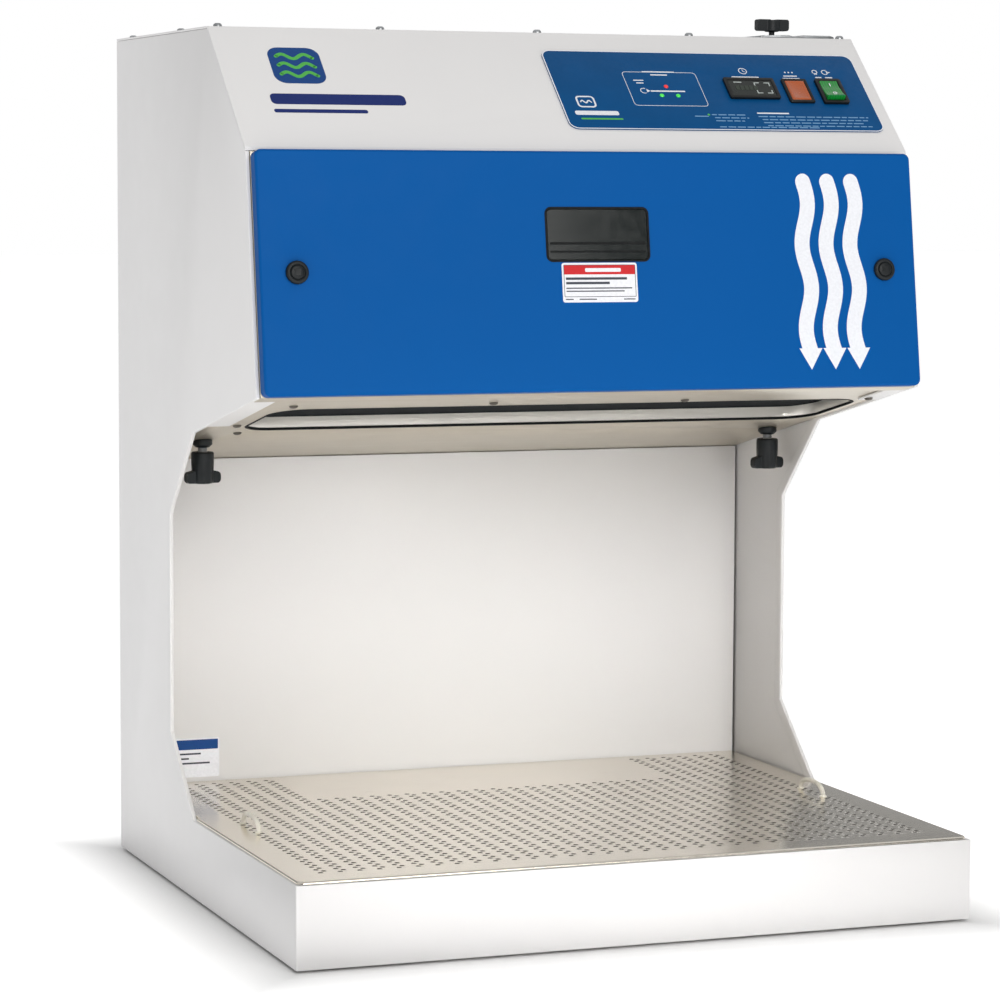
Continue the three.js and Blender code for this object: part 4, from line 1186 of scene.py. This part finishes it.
def screws():
    """The screws of the roof, of the ceiling's flange and side, and of the back."""
    roof = node_box("top_panel")[1].z
    spots = [(x, 340) for x in (-330, -165, 0, 165, 334)]
    spots += [(side * 330, from_back) for side in (-1, 1) for from_back in (20, 208)]
    spots += [(x, 20) for x in (-165, 0, 165)]
    above = [offset(ROW, x, BACK - from_back, roof) for x, from_back in spots]
    spots = [(-286, 67, 0), (-82, 70, 0), (122, 74, 0), (323, 71, FLANGE_LIFT),
             (-306, 192, 0), (-291, 244, 0)]
    below = [offset(CEILING, x, -along, lift) for x, along, lift in spots]
    rear = offset(ROW, 0, BACK - 3) @ Matrix.Rotation(radians(-90), 4, "X")
    behind = [offset(rear, x, -z) for x in (-330, -110, 110, 330) for z in (20, 290, 570, 848)]
    # The ceiling's screws take the dark steel, which is painted shade under the head; the other screws are plain
    # zinc.
    for name, places, material, radius, height in (("roof_screws", above, ZINC, 4.3, 3.4),
                                                   ("ceiling_screws", below, DULL_SHADED_STEEL, 4.2, 2.2),
                                                   ("back_screws", behind, ZINC, 3.6, 2.1)):
        heads = Shape()
        for base in places:
            pan_screw(heads, base, radius, height)
        piece(name, heads, material, "cabinet")


# ---- notice on the liner
NOTICE_LIMITS = (-330, -257, 88, 129.5)
NOTICE_THICK = 0.3


def liner_notice():
    """A plain card with a blue band and grey bars."""
    wall = offset(ROW, 0, node_box("rear_liner")[0].y)
    face = wall @ Matrix.Rotation(radians(90), 4, "X")
    x0, x1, y0, y1 = NOTICE_LIMITS
    plate = Shape(face)
    plate.prism(rounded(x0, x1, y0, y1, 2), SKIM, NOTICE_THICK, chamfer=0.06)
    piece("notice_plate", plate, LABEL, "cabinet")
    band = Print(face, NOTICE_THICK)
    band.fill(rounded(x0 + 1.5, x1 - 1.5, y1 - 12, y1 - 1.5, 0.5))
    piece("notice_band", band, BADGE_INK, "cabinet")
    grey = Print(face, NOTICE_THICK)
    for row, share in enumerate((0.75, 0.55, 0.9)):
        y = y1 - 16.5 - row * 5
        grey.fill(rounded(x0 + 4, x0 + 4 + (x1 - x0 - 8) * share, y - 0.9, y + 0.9, 0.3))
    piece("notice_bars", grey, GREY_INK, "cabinet")


# ---- stage, light and camera
FLOOR_HALF = 30
FLOOR_GLOW = 0.55
GLOW_START = 0.08
SKY = {"left": 0.55, "right": 0.6, "front": 0.14, "top": 0.66, "back": 0.22}
WARM_WHITE = (1, 0.985, 0.96)
CAMERA_PLACE = (-1.2639, -3.2874, 0.7162)
CAMERA_TURN = (20.594, -5.217, 0.253)
CAMERA_LENS = 125.43


def floor_finish():
    surface = Surface("floor_paper", (0.86, 0.86, 0.86, 1), 0.8, Emission_Color=(1, 1, 1, 1),
                      Specular_IOR_Level=0.1)
    surface.tone(surface.noise(1.5), 0.99, 1.01)
    surface.rough(surface.noise(3.0), 0.75, 0.85)
    surface.bump(surface.noise(500.0), 0.02, 0.2)
    # The paper glows where it lies away from the cabinet, so that it stays white to the horizon. The glow fades
    # out over the last 80 mm towards the cabinet, which paints a darker band of shade round its foot.
    parts = surface.add("ShaderNodeSeparateXYZ", {"Vector": surface.coordinates})
    gaps = []

    def math_of(operation, *values):
        """The output of a math node."""
        node = surface.add("ShaderNodeMath", dict(enumerate(values)), operation=operation)
        return node.outputs[0]

    for axis, half in ((0, CAD_BOX[1].x), (1, CAD_BOX[1].y)):
        gaps.append(math_of("SUBTRACT", math_of("ABSOLUTE", parts.outputs[axis]), half))
    glow = surface.spread(math_of("MAXIMUM", *gaps), 0.0, FLOOR_GLOW, 0.0, GLOW_START)
    surface.link(glow, "Emission Strength")
    return surface.material


def stage():
    floor = bpy.data.meshes.new("floor")
    corners = ((-1, -1), (1, -1), (1, 1), (-1, 1))
    floor.from_pydata([(x * FLOOR_HALF, y * FLOOR_HALF, 0) for x, y in corners], [], [(0, 1, 2, 3)])
    floor.materials.append(floor_finish())
    placed("floor", floor)


def sky():
    """Studio light by direction: white low down behind, dimmer above it and in front."""
    world = bpy.data.worlds.new("studio")
    bpy.context.scene.world = world
    world.use_nodes = True
    tree = world.node_tree
    background = tree.nodes["Background"]
    background.inputs["Color"].default_value = (1, 1, 1, 1)
    parts = tree.nodes.new("ShaderNodeSeparateXYZ")
    tree.links.new(tree.nodes.new("ShaderNodeTexCoord").outputs["Generated"], parts.inputs[0])

    def ramp(axis, start, end, low, high):
        """A smooth step along an axis; low and high are numbers or other ramps."""
        node = tree.nodes.new("ShaderNodeMapRange")
        node.interpolation_type = "SMOOTHSTEP"
        tree.links.new(parts.outputs[axis], node.inputs["Value"])
        limits = {"From Min": start, "From Max": end, "To Min": low, "To Max": high}
        for socket, value in limits.items():
            if hasattr(value, "is_output"):
                tree.links.new(value, node.inputs[socket])
            else:
                node.inputs[socket].default_value = value
        return node.outputs["Result"]

    right_side = ramp("X", -0.9, 0.1, SKY["left"], SKY["right"])
    around = ramp("Y", -0.8, 0.1, SKY["front"], right_side)
    around = ramp("Z", 0.45, 0.9, around, SKY["top"])
    behind = ramp("Z", 0.07, 0.15, 1.0, ramp("Z", 0.3, 0.75, SKY["back"], SKY["top"]))
    strength = ramp("Y", 0.5, 0.82, around, behind)
    tree.links.new(strength, background.inputs["Strength"])


def softbox(name, place, aim, width, height, power, spread=180):
    light = bpy.data.lights.new(name, "AREA")
    light.shape = "RECTANGLE"
    light.size = width
    light.size_y = height
    light.energy = power
    light.color = WARM_WHITE
    light.spread = radians(spread)
    made = placed(name, light)
    made.location = place
    made.rotation_euler = (Vector(aim) - Vector(place)).to_track_quat("-Z", "Y").to_euler()


def camera():
    """The viewpoint: from the front left, a little above the middle."""
    yaw, pitch, roll = (radians(value) for value in CAMERA_TURN)
    flat = cos(pitch)
    forward = Vector((sin(yaw) * flat, cos(yaw) * flat, sin(pitch)))
    right = Vector((cos(yaw), -sin(yaw), 0))
    up = right.cross(forward)
    level = right * cos(roll) + up * sin(roll)
    upright = -right * sin(roll) + up * cos(roll)
    turn = Matrix((level, upright, -forward)).transposed().to_4x4()
    lens = bpy.data.cameras.new("camera")
    lens.sensor_width = 36
    lens.lens = CAMERA_LENS
    made = placed("camera", lens)
    made.matrix_world = Matrix.Translation(CAMERA_PLACE) @ turn
    bpy.context.scene.camera = made


dress_nodes()
deck()
for side, sign in (("left", -1), ("right", 1)):
    deck_handle(side)
    clamp_knob(side)
    threaded_rod(side)
    latch(side, sign)
roof_knob()
filter_door()
window()
door_label()
door_graphic()
head_badge()
overlay_print()
indicators()
meter_face()
amber_lamp()
rocker_key()
screws()
liner_notice()
stage()
sky()
# Softboxes: place, aim, width, height, power, spread.
softbox("key", (-0.12, -3.6, 1.95), (-0.12, 0, 0.5), 3.0, 1.3, 64)
softbox("work_space_fill", (-0.1, -1.9, 0.55), (0, 0.23, 0.13), 0.6, 0.2, 0.42, 26)
camera()
bpy.context.scene.view_settings.view_transform = "Standard"
